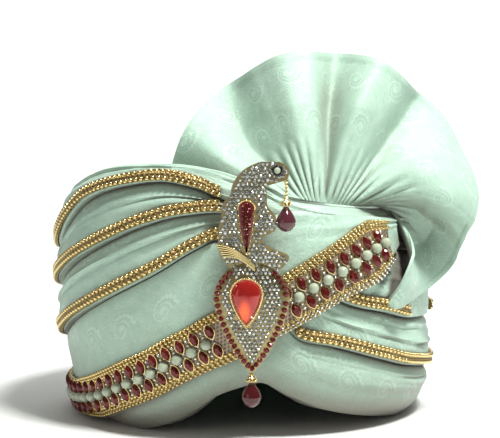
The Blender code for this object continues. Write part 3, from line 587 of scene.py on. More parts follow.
# Crown: one round of the same satin stretched over the top of the base, its edge tucked in
# under the top roll, with shallow pleats that run in from the edge.
CROWN_REACH = 0.084
CROWN_TALL = 0.143
CROWN_CLOTH = 0.0025
CROWN_PLEATS = 26
CROWN_PLEAT = 0.0011
CROWN_RINGS = 16
crown_rows = []
slope = (CROWN_REACH - HEAD_WIDE / 2) / (WELL_REACH - HEAD_WIDE / 2)
crown_rise = slope * (CROWN_EDGE_DROP - WELL_DROP)
crown_long = (AXIS - place(0, CROWN_REACH, 0)).y
for turn in turns[::2]:
    edge = WRAP_TALL * curve(CREST, turn) - CROWN_EDGE_DROP + crown_rise
    angle = radians(turn)
    under, over = [], []
    for index in range(CROWN_RINGS):
        share = index / (CROWN_RINGS - 1)
        height = CROWN_TALL + (edge - CROWN_TALL) * share ** 2 + WRAP_GAP
        pleat = CROWN_PLEAT * share * (1 - share) * 4 * sin(angle * CROWN_PLEATS)
        spot = AXIS + Vector((-CROWN_REACH * share * sin(angle), -crown_long * share * cos(angle), height))
        under.append(spot + Vector((0, 0, pleat)))
        over.append(spot + Vector((0, 0, pleat + CROWN_CLOTH)))
    crown_rows.append(under + over[::-1])
crown = add_piece("crown_cloth", cloth_mesh("crown_cloth", crown_rows, cloth_finish), "cloth", "crown")
crown_bm = bmesh.new()
crown_bm.from_mesh(crown.data)
bmesh.ops.remove_doubles(crown_bm, verts=crown_bm.verts, dist=1e-6)
bmesh.ops.recalc_face_normals(crown_bm, faces=crown_bm.faces)
crown_bm.to_mesh(crown.data)
crown_bm.free()


# Sash: a strip of the same satin, at most 78 mm wide, laid flat over the front wraps from low at
# the left up to the fan, its edges turned under and slip-stitched.
CLOTH_GAP = 0.0005
SASH_CLOTH = 0.0028
SASH_EDGE = 0.0012
SASH_ROWS = 24
SASH_ENDS = (-54, 108)
SASH_UNDER_FROM = 6
SASH_BLEND = 6
SASH_FOLD = 0.0032
RIM_CLEAR = 0.002
LIP_CLEAR = 0.003
LEVELS = 190
PER_METRE = 1000
STRIP_STEP = 1.2
# Turn, share of WRAP_TALL
SASH_TOP = [(-54, 0.785), (-37, 0.806), (-25, 0.815), (-17, 0.830), (-8, 0.810), (0, 0.770), (6, 0.716)]
BAND_LOW = [
    (-54, 0.680), (-45, 0.607), (-39, 0.560), (-33, 0.530), (-23, 0.468), (-13, 0.397), (-4, 0.341),
    (3, 0.288), (9, 0.256), (16, 0.212), (25, 0.152), (34, 0.105), (44, 0.059), (53, 0.026), (62, 0.016),
    (80, 0.013), (114, 0.013),
]


def skin_of(nodes):
    """Furthest reach of some wraps at every section and millimetre of height."""
    table = numpy.zeros((WRAP_TURNS, LEVELS))
    for node in nodes:
        for row, section in zip(table, wrap_sections[node]):
            for (reach, height), (reach2, height2) in zip(section, section[1:] + section[:1]):
                low, high = sorted((height, height2))
                for level in range(max(math.ceil(low * PER_METRE), 0), math.floor(high * PER_METRE) + 1):
                    share = (level / PER_METRE - height) / (height2 - height) if high - low > 1e-9 else 0.5
                    row[level] = max(row[level], reach + share * (reach2 - reach))
    return table


def eased(table, turns_wide, levels_wide):
    """Cloth laid over a table of reaches: its highest points near each spot, then smoothed."""
    laid = table
    for row in laid:
        met = numpy.nonzero(row)[0]
        row[:] = numpy.interp(numpy.arange(LEVELS), met, row[met])
    for axis, wide in ((0, turns_wide), (1, levels_wide)):
        shifts = [numpy.roll(laid, shift, axis) for shift in range(-wide, wide + 1)]
        laid = numpy.max(shifts, axis=0)
    for axis, wide in ((0, turns_wide + 1), (1, levels_wide + 1), (0, turns_wide), (1, levels_wide)):
        laid = numpy.mean([numpy.roll(laid, shift, axis) for shift in range(-wide, wide + 1)], axis=0)
    return numpy.maximum(laid, table)


def looked_up(table, turn, height):
    """Reach in a table at any turn and height."""
    spot = (turn % 360) / 360 * WRAP_TURNS
    level = min(max(height * PER_METRE, 0), LEVELS - 2)
    i, j = int(spot) % WRAP_TURNS, int(level)
    a, b = spot - int(spot), level - j
    k = (i + 1) % WRAP_TURNS
    low = table[i, j] * (1 - a) + table[k, j] * a
    high = table[i, j + 1] * (1 - a) + table[k, j + 1] * a
    return low * (1 - b) + high * b


skin = skin_of(makers)
rim_skin = skin_of(["rim_wrap"])
over_all = eased(skin, 3, 4)
over_rim = eased(rim_skin, 2, 2)


def sash_edges(turn):
    """Heights of the sash's lower and upper edge."""
    low = WRAP_TALL * curve(BAND_LOW, turn, 1, False)
    if turn <= SASH_UNDER_FROM:
        return low, WRAP_TALL * curve(SASH_TOP, turn, 1, False)
    return max(low, rim(turn) + RIM_CLEAR), line_at("lower", turn)[0] - CLOTH_GAP


def sash_back(turn, height):
    """Reach of the sash's back."""
    blend = min(max((turn - SASH_UNDER_FROM) / SASH_BLEND + 0.5, 0), 1)
    every = looked_up(over_all, turn, height)
    under = min(height, line_at("lower", turn)[0] - LIP_CLEAR)
    return every + blend * (looked_up(over_rim, turn, under) - every) + CLOTH_GAP


def sash_front(turn, height):
    """Reach of the sash's face, with soft folds where it shows above the band."""
    low, high = sash_edges(turn)
    share = min(max((height - low) / (high - low), 0), 1)
    edge = min(share, 1 - share) / 0.06
    thick = SASH_EDGE + (SASH_CLOTH - SASH_EDGE) * sin(min(edge, 1) * pi / 2)
    pull = 0.0
    if turn < SASH_UNDER_FROM:
        pull = max(share - 0.62, 0) * SASH_FOLD * (1 + sin(share * 42 + turn * 0.10))
    return sash_back(turn, height) + thick + pull


def strip(name, ends, edges, back, front, rows, finish):
    """Mesh of a strip of cloth or braid between two heights."""
    made = []
    turn = ends[0]
    while turn <= ends[1] + 1e-6:
        low, high = edges(turn)
        levels = [low + (high - low) * index / (rows - 1) for index in range(rows)]
        section = [place(turn, front(turn, level), level) for level in levels]
        section += [place(turn, back(turn, level), level) for level in levels[::-1]]
        made.append(section)
        turn += STRIP_STEP
    return cloth_mesh(name, made, finish, around=False)


sash_mesh = strip("sash_cloth", SASH_ENDS, sash_edges, sash_back, sash_front, SASH_ROWS, cloth_finish)
sash = add_piece("sash_cloth", sash_mesh, "cloth", "sash")


# Fan: a strip of the satin, starched, gathered along one edge into fine pleats behind the sash
# and spread upwards; its rim is finished with a narrow rolled hem.
FRONT = Vector((0, -1, 0))
FAN_CLOTH = 0.0018
FAN_HEM = 0.0012
FAN_REACH = 0.106
FAN_X = 0.057
FAN_Z = 0.136
FAN_FOLD = 0.0160
FAN_LIP_SIDE = 0.010
FAN_CURL = 0.012
FAN_SEAT = 0.0016
FAN_OUT = 0.003
FAN_FULL = 0.62
FAN_CLOSE = 0.42
FAN_RAYS = 380
FAN_STEPS = 52
FAN_GATHERS = 40
FAN_GATHER = 0.0016
FAN_FINE = 0.0014
FAN_HEM_STEPS = 3
# Station along the rim, its angle from the right, share of FAN_REACH, share of half WALL_LONG
# forward, belly and root's turn
FAN = [
    (165, 165, 0.985, 0.451, 0.038, -15), (155, 155, 1.000, 0.451, 0.047, -17),
    (143, 143, 0.985, 0.467, 0.057, -20), (130, 130, 0.975, 0.482, 0.066, -22),
    (112, 112, 0.965, 0.482, 0.066, -25), (92, 92, 0.950, 0.482, 0.066, -29),
    (71, 71, 0.922, 0.467, 0.075, -33), (51, 51, 0.890, 0.436, 0.075, -37),
    (31, 31, 0.884, 0.389, 0.094, -41), (21, 21, 0.884, 0.358, 0.113, -44),
    (7, 7, 0.884, 0.340, 0.123, -47), (-3, -3, 0.870, 0.345, 0.120, -50),
    (-14, -14, 0.846, 0.380, 0.115, -53), (-27, -27, 0.815, 0.440, 0.110, -56),
    (-40, -40, 0.782, 0.530, 0.110, -58), (-50, -49, 0.750, 0.620, 0.110, -60),
    (-58, -55, 0.705, 0.700, 0.110, -61), (-64, -58, 0.650, 0.750, 0.100, -62),
]
# Folds: their station near the root, half way and at the rim, how far forward they stand half
# way and at the rim
FOLDS = [
    (168, 168, 168, 0.70, 0.50), (158, 157, 154, 0.85, 0.75), (143, 141, 129, -0.95, -1.00),
    (122, 121, 118, 0.20, 0.05), (112, 110, 107, 0.75, 0.75), (104, 102, 99, 0.60, 0.55),
    (92, 91, 88, -0.75, -0.85), (80, 78, 71, 0.80, 0.85), (66, 65, 61, 0.35, 0.30),
    (50, 51, 51, -1.00, -1.05), (45, 44, 36, -0.55, -0.75), (37, 34, 11, 0.45, 0.45),
    (22, 3, -4, 1.25, 1.00), (13, -6, -12, 0.20, 0.10), (2, -16, -22, -1.15, -0.55),
    (-18, -30, -34, -1.45, -0.55), (-36, -42, -45, -1.10, -0.05), (-50, -52, -53, 0.10, 0.50),
    (-58, -59, -59, 0.95, 0.70), (-64, -64, -64, 1.00, 0.60),
]


def fan_folds(step):
    """Stations and heights of the folds at a share of the way out."""
    share = abs(2 * step - 1)
    out = min(max(2 * step - 1, 0), 1)
    rows = []
    for near, half, far, middle, edge in FOLDS:
        rows.append((half + ((near if step < 0.5 else far) - half) * share, middle + (edge - middle) * out))
    return rows


def fan_spot(station, step, folds):
    """Point of the fan's middle surface."""
    angle, reach, forward, belly, root_turn = [curve(FAN, station, column, False) for column in range(1, 6)]
    crest = WRAP_TALL * curve(CREST, root_turn)
    root = place(root_turn, CREST_REACH + FAN_OUT, crest + FAN_SEAT)
    angle = radians(angle)
    reach = FAN_REACH * reach * (1 + 0.010 * sin(station * 0.19))
    tip = AXIS + Vector((FAN_X + reach * cos(angle), -forward * WALL_LONG / 2, FAN_Z + reach * sin(angle)))
    out = outward(root_turn)
    bend = (root + tip) / 2 + belly * FAN_REACH * (out + Vector((0, 0, 0.85)))
    spot = root * (1 - step) ** 2 + bend * 2 * step * (1 - step) + tip * step * step
    grow = min(step / FAN_FULL, 1.0) ** 1.25
    fold = FAN_FOLD * curve(folds, station, 1, False) * grow
    lip = min(max((-station - 46) / 18, 0), 1) ** 1.5
    lip *= sin(pi * step) * (1 - 2.2 * max(step - 0.55, 0))
    spot = spot + FAN_LIP_SIDE * lip * Vector((1, 0, 0.1))
    curl = min(max((-station - 20) / 30, 0), 1) * max(step - 0.72, 0) / 0.28
    spot = spot + FAN_CURL * curl * curl * Vector((-0.35, 0.8, 0.25))
    close = max(1 - step / FAN_CLOSE, 0)
    gather = FAN_GATHER * sin(radians(station) * FAN_GATHERS + 2.0 * sin(station * 0.11))
    gather *= close ** 0.7 * min(step / 0.06, 1)
    fine = FAN_FINE * noise.noise(Vector((station * 0.07, step * 2.0, 3.0))) * sin(pi / 2 * min(step * 2, 1))
    return spot + FRONT * (fold + gather + fine)


stations = [FAN[0][0] + (FAN[-1][0] - FAN[0][0]) * index / (FAN_RAYS - 1) for index in range(FAN_RAYS)]
steps = [index / (FAN_STEPS - 1) for index in range(FAN_STEPS)]
fold_rows = [fan_folds(step) for step in steps]
fan_grid = [[fan_spot(station, step, folds) for step, folds in zip(steps, fold_rows)] for station in stations]
fan_rows = []
for i, row in enumerate(fan_grid):
    ahead, behind = fan_grid[min(i + 1, FAN_RAYS - 1)], fan_grid[max(i - 1, 0)]
    front, back = [], []
    for j, spot in enumerate(row):
        along = row[min(j + 1, FAN_STEPS - 1)] - row[max(j - 1, 0)]
        normal = (ahead[j] - behind[j]).cross(along).normalized()
        half = FAN_CLOTH / 2 + (FAN_HEM / 2 if j >= FAN_STEPS - FAN_HEM_STEPS else 0)
        front.append(spot + normal * half)
        back.append(spot - normal * half)
    fan_rows.append(front + back[::-1])
fan = add_piece("fan_cloth", cloth_mesh("fan_cloth", fan_rows, cloth_finish, around=False), "cloth", "fan")


# Bead trims: two rows of pale gold beads couched along a flat gold braid, hand-sewn along the
# folded lower lips of the wraps. The short trim at the right runs in under the band's end.
TRIM_WIDE = 0.0070
TRIM_LIFT = 0.0010
BRAID_THICK = 0.0013
BEAD_SIZE = Vector((0.0028, 0.0031, 0.0027))
BEAD_PITCH = 0.0041
BEAD_LIFT = 0.0003
# Rows of beads: share of the braid's width, shift along it in pitches
BEAD_ROWS = [(0.21, 0.0), (0.79, 0.5)]
BRAID_ROWS = 21
CORD_RISE = 0.0010
TRIM_RUNS = {
    "top_trim": ("top", 6, 288),
    "middle_trim": ("middle", 6, 275),
    "lower_trim": ("lower", 6, 345),
    "right_trim": ("middle", 303, 330),
}
over_lips = eased(skin, 1, 2)


def skinned(bm, rings):
    """Join like rings of vertices into a closed skin with flat ends."""
    count = len(rings[0])
    for low, high in zip(rings, rings[1:]):
        for j in range(count):
            k = (j + 1) % count
            bm.faces.new((low[j], low[k], high[k], high[j]))
    bm.faces.new(rings[0][::-1])
    bm.faces.new(rings[-1])
    return bm


def circle(sides, wide=1.0):
    """Points of a circle, one unit wide unless said."""
    return [(wide / 2 * cos(tau * i / sides), wide / 2 * sin(tau * i / sides)) for i in range(sides)]


def faceted(outline, levels):
    """Closed stone of unit size: like outlines at rising levels, with flat ends."""
    bm = bmesh.new()
    rings = [[bm.verts.new((x * share, y * share, level)) for x, y in outline] for share, level in levels]
    return skinned(bm, rings)


def ball(detail):
    """Round bead one unit wide."""
    bm = bmesh.new()
    bmesh.ops.create_icosphere(bm, subdivisions=detail, radius=0.5)
    return bm


def ring_bead(around=10, across=6, thick=0.17):
    """Small metal ring one unit wide, lying flat."""
    bm = bmesh.new()
    rings = []
    for i in range(around):
        turn = tau * i / around
        ring = []
        for j in range(across):
            side = tau * j / across
            reach = 0.5 - thick + thick * cos(side)
            ring.append(bm.verts.new((reach * cos(turn), reach * sin(turn), 1.3 * thick * sin(side))))
        rings.append(ring)
    for i in range(around):
        for j in range(across):
            bm.faces.new((rings[i][j], rings[(i + 1) % around][j],
                          rings[(i + 1) % around][(j + 1) % across], rings[i][(j + 1) % across]))
    return bm


def scatter_tree():
    """Node tree that sets one stone on every point, turned and sized by the point's values."""
    tree = bpy.data.node_groups.new("set_stones", "GeometryNodeTree")
    tree.interface.new_socket("Geometry", in_out="OUTPUT", socket_type="NodeSocketGeometry")
    tree.interface.new_socket("Geometry", in_out="INPUT", socket_type="NodeSocketGeometry")
    sockets = {}
    for name, kind in (("Stone", "NodeSocketObject"), ("Finish", "NodeSocketMaterial")):
        sockets[name] = tree.interface.new_socket(name, in_out="INPUT", socket_type=kind).identifier
    given, result, stone, setter, turner, real, finish, facing, size = [tree.nodes.new(kind) for kind in (
        "NodeGroupInput", "NodeGroupOutput", "GeometryNodeObjectInfo", "GeometryNodeInstanceOnPoints",
        "FunctionNodeEulerToRotation", "GeometryNodeRealizeInstances", "GeometryNodeSetMaterial",
        "GeometryNodeInputNamedAttribute", "GeometryNodeInputNamedAttribute")]
    for value, name in ((facing, "facing"), (size, "size")):
        value.data_type = "FLOAT_VECTOR"
        value.inputs["Name"].default_value = name
    for source, out, target, socket in (
            (given, "Stone", stone, "Object"), (given, "Geometry", setter, "Points"),
            (stone, "Geometry", setter, "Instance"), (facing, "Attribute", turner, 0),
            (turner, 0, setter, "Rotation"), (size, "Attribute", setter, "Scale"),
            (setter, "Instances", real, "Geometry"), (real, "Geometry", finish, "Geometry"),
            (given, "Finish", finish, "Material"), (finish, "Geometry", result, "Geometry")):
        tree.links.new(source.outputs[out], target.inputs[socket])
    return tree, sockets


stone_tree, stone_sockets = scatter_tree()


def set_stones(name, spots, shape, finish, slot_name, node, smooth=True):
    """Set one stone on every spot (point, along, face, size) and keep the result as one piece."""
    mesh = bpy.data.meshes.new(name + "_spots")
    mesh.from_pydata([spot[0] for spot in spots], [], [])
    facing = mesh.attributes.new("facing", "FLOAT_VECTOR", "POINT")
    size = mesh.attributes.new("size", "FLOAT_VECTOR", "POINT")
    for index, (_, along, face, scale) in enumerate(spots):
        across = face.cross(along).normalized()
        along = across.cross(face).normalized()
        facing.data[index].vector = Matrix((along, across, face)).transposed().to_euler()
        size.data[index].vector = scale if isinstance(scale, Vector) else (scale, scale, scale)
    stone_mesh = bpy.data.meshes.new(name + "_stone")
    shape.to_mesh(stone_mesh)
    shape.free()
    if smooth:
        stone_mesh.shade_smooth()
    stone = bpy.data.objects.new(name + "_stone", stone_mesh)
    holder = bpy.data.objects.new(name + "_spots", mesh)
    for each in (stone, holder):
        scene.collection.objects.link(each)
    modifier = holder.modifiers.new("stones", "NODES")
    modifier.node_group = stone_tree
    modifier[stone_sockets["Stone"]] = stone
    modifier[stone_sockets["Finish"]] = finish.material
    bpy.context.view_layer.update()
    made = bpy.data.meshes.new_from_object(holder.evaluated_get(bpy.context.evaluated_depsgraph_get()))
    made.name = name
    for each in (stone, holder):
        bpy.data.objects.remove(each)
    add_piece(name, made, slot_name, node)


RUN_STEP = 0.08


def run_spots(front, line, first, last, pitch, size, shift=0.0):
    """Spots a pitch apart along a run: front gives the reach at a turn and height, line the height."""
    def at(turn, more=0.0):
        height = line(turn) + more
        return place(turn, front(turn, height), height)

    spots = []
    turn = first
    travelled = -shift * pitch
    before = at(first)
    while turn <= last:
        here = at(turn)
        travelled += (here - before).length
        before = here
        if travelled >= 0:
            travelled -= pitch
            along = (at(turn + 0.4) - at(turn - 0.4)).normalized()
            up = at(turn, 0.0008) - at(turn, -0.0008)
            face = along.cross(up).normalized()
            if face.dot(outward(turn)) < 0:
                face.negate()
            spots.append((here, along, face, size))
        turn += RUN_STEP
    return spots


def braid_back(turn, height):
    """Reach of a trim's back, laid on the lip under it."""
    return looked_up(over_lips, turn, height) + CLOTH_GAP


def braid_front(turn, height, low):
    """Reach of a trim's face: a flat tape with two round cords along its middle."""
    beside = abs((height - low) / TRIM_WIDE - 0.5)
    cord = max(1 - ((beside - 0.09) / 0.08) ** 2, 0) ** 0.5
    return braid_back(turn, height) + BRAID_THICK + CORD_RISE * cord


gold = Finish("pale_gold", (0.83, 0.66, 0.31), 0.20, 1.0)
tarnish = gold.grain(220.0, 2.0)
gold.shade(Roughness=0.12 + tarnish * 0.20)
braid = Finish("gold_braid", (0.42, 0.37, 0.18), 0.45, 0.6)
braid_across, braid_up = braid.flat()
slant_across, slant_up = braid_across * 900.0, braid_up * 700.0
plait = abs((slant_across + slant_up).sine()) * abs((slant_across - slant_up).sine())
braid.shade(Base_Color=braid.mix(plait, (0.16, 0.10, 0.03, 1), (0.72, 0.55, 0.24, 1)))
braid.bump(plait, 0.0006, 0.9)

for node, (line_name, first, last) in TRIM_RUNS.items():
    def low_edge(turn, line_name=line_name):
        return line_at(line_name, turn)[0] + WRAP_GAP + TRIM_LIFT

    def face(turn, height):
        return braid_front(turn, height, low_edge(turn))

    tape = strip(node + "_braid", (first, last), lambda turn: (low_edge(turn), low_edge(turn) + TRIM_WIDE),
                 braid_back, face, BRAID_ROWS, braid)
    add_piece(node + "_braid", tape, "gold_beads", node)
    spots = []
    for share, shift in BEAD_ROWS:
        spots += run_spots(lambda turn, height: face(turn, height) + BEAD_LIFT,
                           lambda turn: low_edge(turn) + share * TRIM_WIDE, first + 0.3, last - 0.3,
                           BEAD_PITCH, BEAD_SIZE, shift)
    set_stones(node + "_beads", spots, ball(2), gold, "gold_beads", node)


# Jewelled band: a strip of gold net with a centre row of pearls between two staggered rows of
# maroon glass marquises in gold settings, glass seed beads filling the gaps, bead rows on both edges.
BAND_TOP = [
    (-54, 0.770), (-41, 0.788), (-32, 0.744), (-23, 0.685), (-15, 0.628), (-8, 0.575), (0, 0.520),
    (10, 0.455), (15, 0.415), (22, 0.368), (29, 0.318), (38, 0.269), (48, 0.217), (57, 0.181),
    (71, 0.143), (90, 0.135), (114, 0.130),
]
BAND_ENDS = (-48, 102)
BAND_GAP = 0.0004
BAND_CLOTH = 0.0016
BAND_INSET = 0.0005
BAND_TRIM_WIDE = 0.0065
BAND_TRIM_SHARE = 0.2
PEARL_WIDE = 0.0066
PEARL_LIFT = 0.0022
STONE_ENDS = (-45, 97)
STONE_PITCH = 0.0104
MARQUISE_LONG = 0.0092
MARQUISE_WIDE = 0.0058
MARQUISE_TALL = 0.0034
STONE_ROW = 0.0062
SEED_WIDE = 0.0021
SEED_LIFT = 0.0008
NET_ROWS = 9
EDGE_BRAID_ROWS = 5
# Seed beads: beside a pearl or not, how far from the middle line, width
SEEDS = [(True, 0.0045, SEED_WIDE), (True, 0.00756, SEED_WIDE), (False, 0.00126, SEED_WIDE * 0.85)]
# Edge beads: pitch and width of the gold rings and of the silver balls
GOLD_ROW = (0.0030, 0.0024)
SILVER_ROW = (0.0034, 0.0018)
EDGE_LIFT = 0.0004
EDGE_END = 0.4
BROOCH_COVERS = (-12, 7)


def band_rows(turn):
    """Heights of the band's lower edge, its field's edges and its upper edge."""
    low = max(WRAP_TALL * curve(BAND_LOW, turn, 1, False), rim(turn) + RIM_CLEAR) + BAND_INSET
    high = WRAP_TALL * curve(BAND_TOP, turn, 1, False)
    trim = min(BAND_TRIM_WIDE, BAND_TRIM_SHARE * (high - low))
    return low, low + trim, high - trim, high


def band_back(turn, height):
    return sash_front(turn, height) + BAND_GAP


def band_front(turn, height):
    return band_back(turn, height) + BAND_CLOTH


net = Finish("gold_net", (0.42, 0.40, 0.26), 0.45, 0.4)
net_across, net_up = net.flat()
mesh_holes = abs((net_across * 1300.0).sine()) * abs((net_up * 1300.0).sine())
net.shade(Base_Color=net.mix(mesh_holes, (0.46, 0.38, 0.27, 1), (0.12, 0.07, 0.05, 1)))
net.bump(mesh_holes, 0.0005, -0.8)
net_mesh = strip("band_net", BAND_ENDS, lambda turn: band_rows(turn)[1:3], band_back, band_front, NET_ROWS,
                 net)
add_piece("band_net", net_mesh, "jewel_field", "jewel_band")

pearl = Finish("glass_pearl", (0.46, 0.53, 0.39), 0.08, 0.0, Coat_Weight=0.8, Sheen_Weight=0.1)
maroon = Finish("maroon_glass", (0.14, 0.009, 0.008), 0.07, 0.40, Coat_Weight=0.4)
clear = Finish("clear_glass", (0.88, 0.87, 0.74), 0.10, 0.85)
silver = Finish("silver", (0.78, 0.80, 0.76), 0.18, 1.0)


def band_middle(turn):
    """Height of the field's middle line."""
    return band_rows(turn)[1] * 0.5 + band_rows(turn)[2] * 0.5


def clear_of_brooch(spots):
    """Spots outside the stretch that the brooch covers."""
    kept = []
    for spot in spots:
        level = spot[0] - AXIS
        turn = math.degrees(math.atan2(-level.x / WALL_WIDE, -level.y / WALL_LONG))
        if not BROOCH_COVERS[0] < turn < BROOCH_COVERS[1]:
            kept.append(spot)
    return kept


def moved(spots, aside=0.0, lift=0.0, size=None, quarter=False):
    """The same spots shifted across the band or off its face, and turned a quarter if asked."""
    made = []
    for point, along, face, scale in spots:
        across = face.cross(along).normalized()
        if across.z < 0:
            across.negate()
        point = point + across * aside + face * lift
        made.append((point, across if quarter else along, face, size or scale))
    return made


pearls, between_pearls = [
    clear_of_brooch(run_spots(band_front, band_middle, *STONE_ENDS, STONE_PITCH, PEARL_WIDE, shift))
    for shift in (0.0, 0.5)]
set_stones("band_pearls", moved(pearls, lift=PEARL_LIFT), ball(3), pearl, "pearl", "jewel_band")

half = [(0.5, 0.0), (0.40, 0.22), (0.22, 0.42), (0.0, 0.5), (-0.22, 0.42), (-0.40, 0.22)]
marquise = half + [(-x, -y) for x, y in half]
marquise_size = Vector((MARQUISE_LONG, MARQUISE_WIDE, MARQUISE_TALL))
# Cuts: share of the outline, share of the height
GEM_CUT = [(0.94, 0.0), (1.0, 0.30), (0.72, 0.78), (0.48, 1.0)]
CUP_CUT = [(0.9, 0.0), (1.0, 0.16), (0.97, 0.36), (0.88, 0.38)]
for name, lift, larger, cut, finish, slot_name in (
        ("band_marquises", 0.0006, 1.0, GEM_CUT, maroon, "maroon_stone"),
        ("band_settings", 0.0001, 1.16, CUP_CUT, gold, "gold_beads")):
    spots = []
    for side in (-1, 1):
        spots += moved(between_pearls, side * STONE_ROW, lift, marquise_size * larger, True)
    set_stones(name, spots, faceted(marquise, cut), finish, slot_name, "jewel_band", False)
seed_spots = []
for side in (-1, 1):
    for beside, aside, wide in SEEDS:
        seed_spots += moved(pearls if beside else between_pearls, side * aside, SEED_LIFT, wide)
set_stones("band_seeds", seed_spots, ball(2), clear, "jewel_field", "jewel_band")

EDGE_ROWS = {
    "band_upper_trim": (2, [(0.14, gold), (0.5, gold), (0.86, gold)]),
    "band_lower_trim": (0, [(0.86, gold), (0.5, silver), (0.14, silver)]),
}
for node, (side, rows) in EDGE_ROWS.items():
    def edge_rows(turn, side=side):
        return band_rows(turn)[side], band_rows(turn)[side + 1]

    tape = strip(node + "_braid", BAND_ENDS, edge_rows, band_back, band_front, EDGE_BRAID_ROWS, braid)
    add_piece(node + "_braid", tape, "gold_beads", node)
    for row, (share, metal) in enumerate(rows):
        spots = run_spots(lambda turn, height: band_front(turn, height) + EDGE_LIFT,
                          lambda turn: edge_rows(turn)[0] * (1 - share) + edge_rows(turn)[1] * share,
                          BAND_ENDS[0] + EDGE_END, BAND_ENDS[1] - EDGE_END,
                          *(GOLD_ROW if metal is gold else SILVER_ROW), 0.5 * (row % 2))
        left = [spot for spot in spots if spot[0].x < AXIS.x]
        right = [spot for spot in spots if spot[0].x >= AXIS.x]
        name = node + "_row_" + str(row + 1)
        set_stones(name, right, ring_bead() if metal is gold else ball(2), metal, "gold_beads", node)
        set_stones(name + "_left", left, ball(2), gold, "gold_beads", node)


# Brooch: a cast gilt plate in three parts soldered together, a pear-shaped medallion, a curled
# plume over it and a leaf of wires between, set all over with small foiled glass stones.
BROOCH_X = 0.0063
BROOCH_Y = -0.1500
BROOCH_THICK = 0.0034
MEDAL_WIDE = 0.045
MEDAL_TALL = 0.066
MEDAL_TOP = 0.111
PLUME_TALL = 0.065
PLUME_BASE = MEDAL_TOP - 0.006
JOINT_HALF = 0.012
STEM_X = BROOCH_X + 0.002
CENTRE_WIDE = 0.0176
CENTRE_TALL = 0.0264
CENTRE_TOP = MEDAL_TOP - 0.0105
CENTRE_X = BROOCH_X - 0.003
INLAY_TALL = 0.030
INLAY_WIDE = 0.009
INLAY_TOP = PLUME_BASE + 0.64 * PLUME_TALL
INLAY_X = STEM_X - 0.005
RIM_STONE = 0.0034
CHIP = 0.0027
STONE_TILT = 0.10
# Plume about its own height: share up, share left of the stem, share right of it
PLUME = [
    (0.00, -0.20, 0.20), (0.10, -0.28, 0.30), (0.14, -0.31, 0.31), (0.22, -0.33, 0.14),
    (0.30, -0.33, 0.06), (0.39, -0.33, 0.19), (0.49, -0.31, 0.19), (0.62, -0.29, 0.11),
    (0.71, -0.22, 0.11), (0.77, -0.21, 0.10), (0.85, -0.17, 0.30), (0.92, -0.11, 0.31),
    (0.97, -0.03, 0.28), (1.00, 0.05, 0.22),
]


def pear(wide, tall, top, x, sides=64):
    """Pear outline, point down."""
    radius = wide / 2
    points = []
    for index in range(sides):
        across, up = cos(tau * index / sides), sin(tau * index / sides)
        narrow, deep = (1, radius) if up >= 0 else ((1 + up) ** 0.35, tall - radius)
        points.append((x + radius * across * narrow, top - radius + deep * up))
    return points


def plume_outline():
    """Closed outline of the plume, smooth between its rows."""
    levels = [index / 56 for index in range(57)]
    left, right = [[(STEM_X + PLUME_TALL * curve(PLUME, up, side, False), PLUME_BASE + PLUME_TALL * up)
                    for up in levels] for side in (1, 2)]
    return left[::-1] + right


def inset(x, z, outline):
    """How far a point lies inside an outline; negative outside."""
    nearest, inside = 1.0, False
    for (x1, z1), (x2, z2) in zip(outline, outline[1:] + outline[:1]):
        dx, dz = x2 - x1, z2 - z1
        share = min(max(((x - x1) * dx + (z - z1) * dz) / max(dx * dx + dz * dz, 1e-12), 0), 1)
        nearest = min(nearest, math.hypot(x - x1 - share * dx, z - z1 - share * dz))
        if (z1 > z) != (z2 > z) and x < x1 + (z - z1) * dx / dz:
            inside = not inside
    return nearest if inside else -nearest


def upright(outline, rings):
    """Slab facing the front from (x, z) outline: rings of (y, how far drawn in)."""
    bm = bmesh.new()
    middle = Vector((sum(p[0] for p in outline), sum(p[1] for p in outline))) / len(outline)
    made = []
    before, after = outline[-1:] + outline[:-1], outline[1:] + outline[:1]
    for y, drawn in rings:
        ring = []
        for (xa, za), (x, z), (xb, zb) in zip(before, outline, after):
            side = Vector((zb - za, xa - xb)).normalized()
            if side.dot(Vector((x, z)) - middle) > 0:
                side.negate()
            ring.append(bm.verts.new(AXIS + Vector((x + side.x * drawn, y, z + side.y * drawn))))
        made.append(ring)
    return skinned(bm, made)


def add_solid(name, bm, finish, slot_name, node, sharp=40):
    """Add a closed shape as a piece."""
    add_piece(name, closed_mesh(name, bm, finish, sharp), slot_name, node)


antique = Finish("antique_gilt", (0.42, 0.34, 0.17), 0.35, 1.0)
medal = pear(MEDAL_WIDE, MEDAL_TALL, MEDAL_TOP, BROOCH_X)
plume = plume_outline()
face_y = BROOCH_Y + 0.0008
plate_rings = [(BROOCH_Y + BROOCH_THICK, 0.0006), (BROOCH_Y + BROOCH_THICK - 0.0008, 0.0),
               (face_y + 0.0005, 0.0), (face_y, 0.0006)]
add_solid("medal_plate", upright(medal, plate_rings), antique, "brooch_metal", "brooch_frame")
plume_rings = [(y + 0.0004, 0.3 * drawn) for y, drawn in plate_rings]
add_solid("plume_plate", upright(plume, plume_rings), antique, "brooch_metal", "brooch_frame")

random.seed(7)


def front_spot(x, z, size, lift=0.0):
    """A stone's spot on the brooch's face, turned a little at random."""
    tilt = Vector((random.uniform(-STONE_TILT, STONE_TILT), -1, random.uniform(-STONE_TILT, STONE_TILT)))
    side = Vector((cos(random.uniform(0, 1.5)), 0, sin(random.uniform(0, 1.5))))
    return AXIS + Vector((x, face_y - lift, z)), side, tilt.normalized(), size


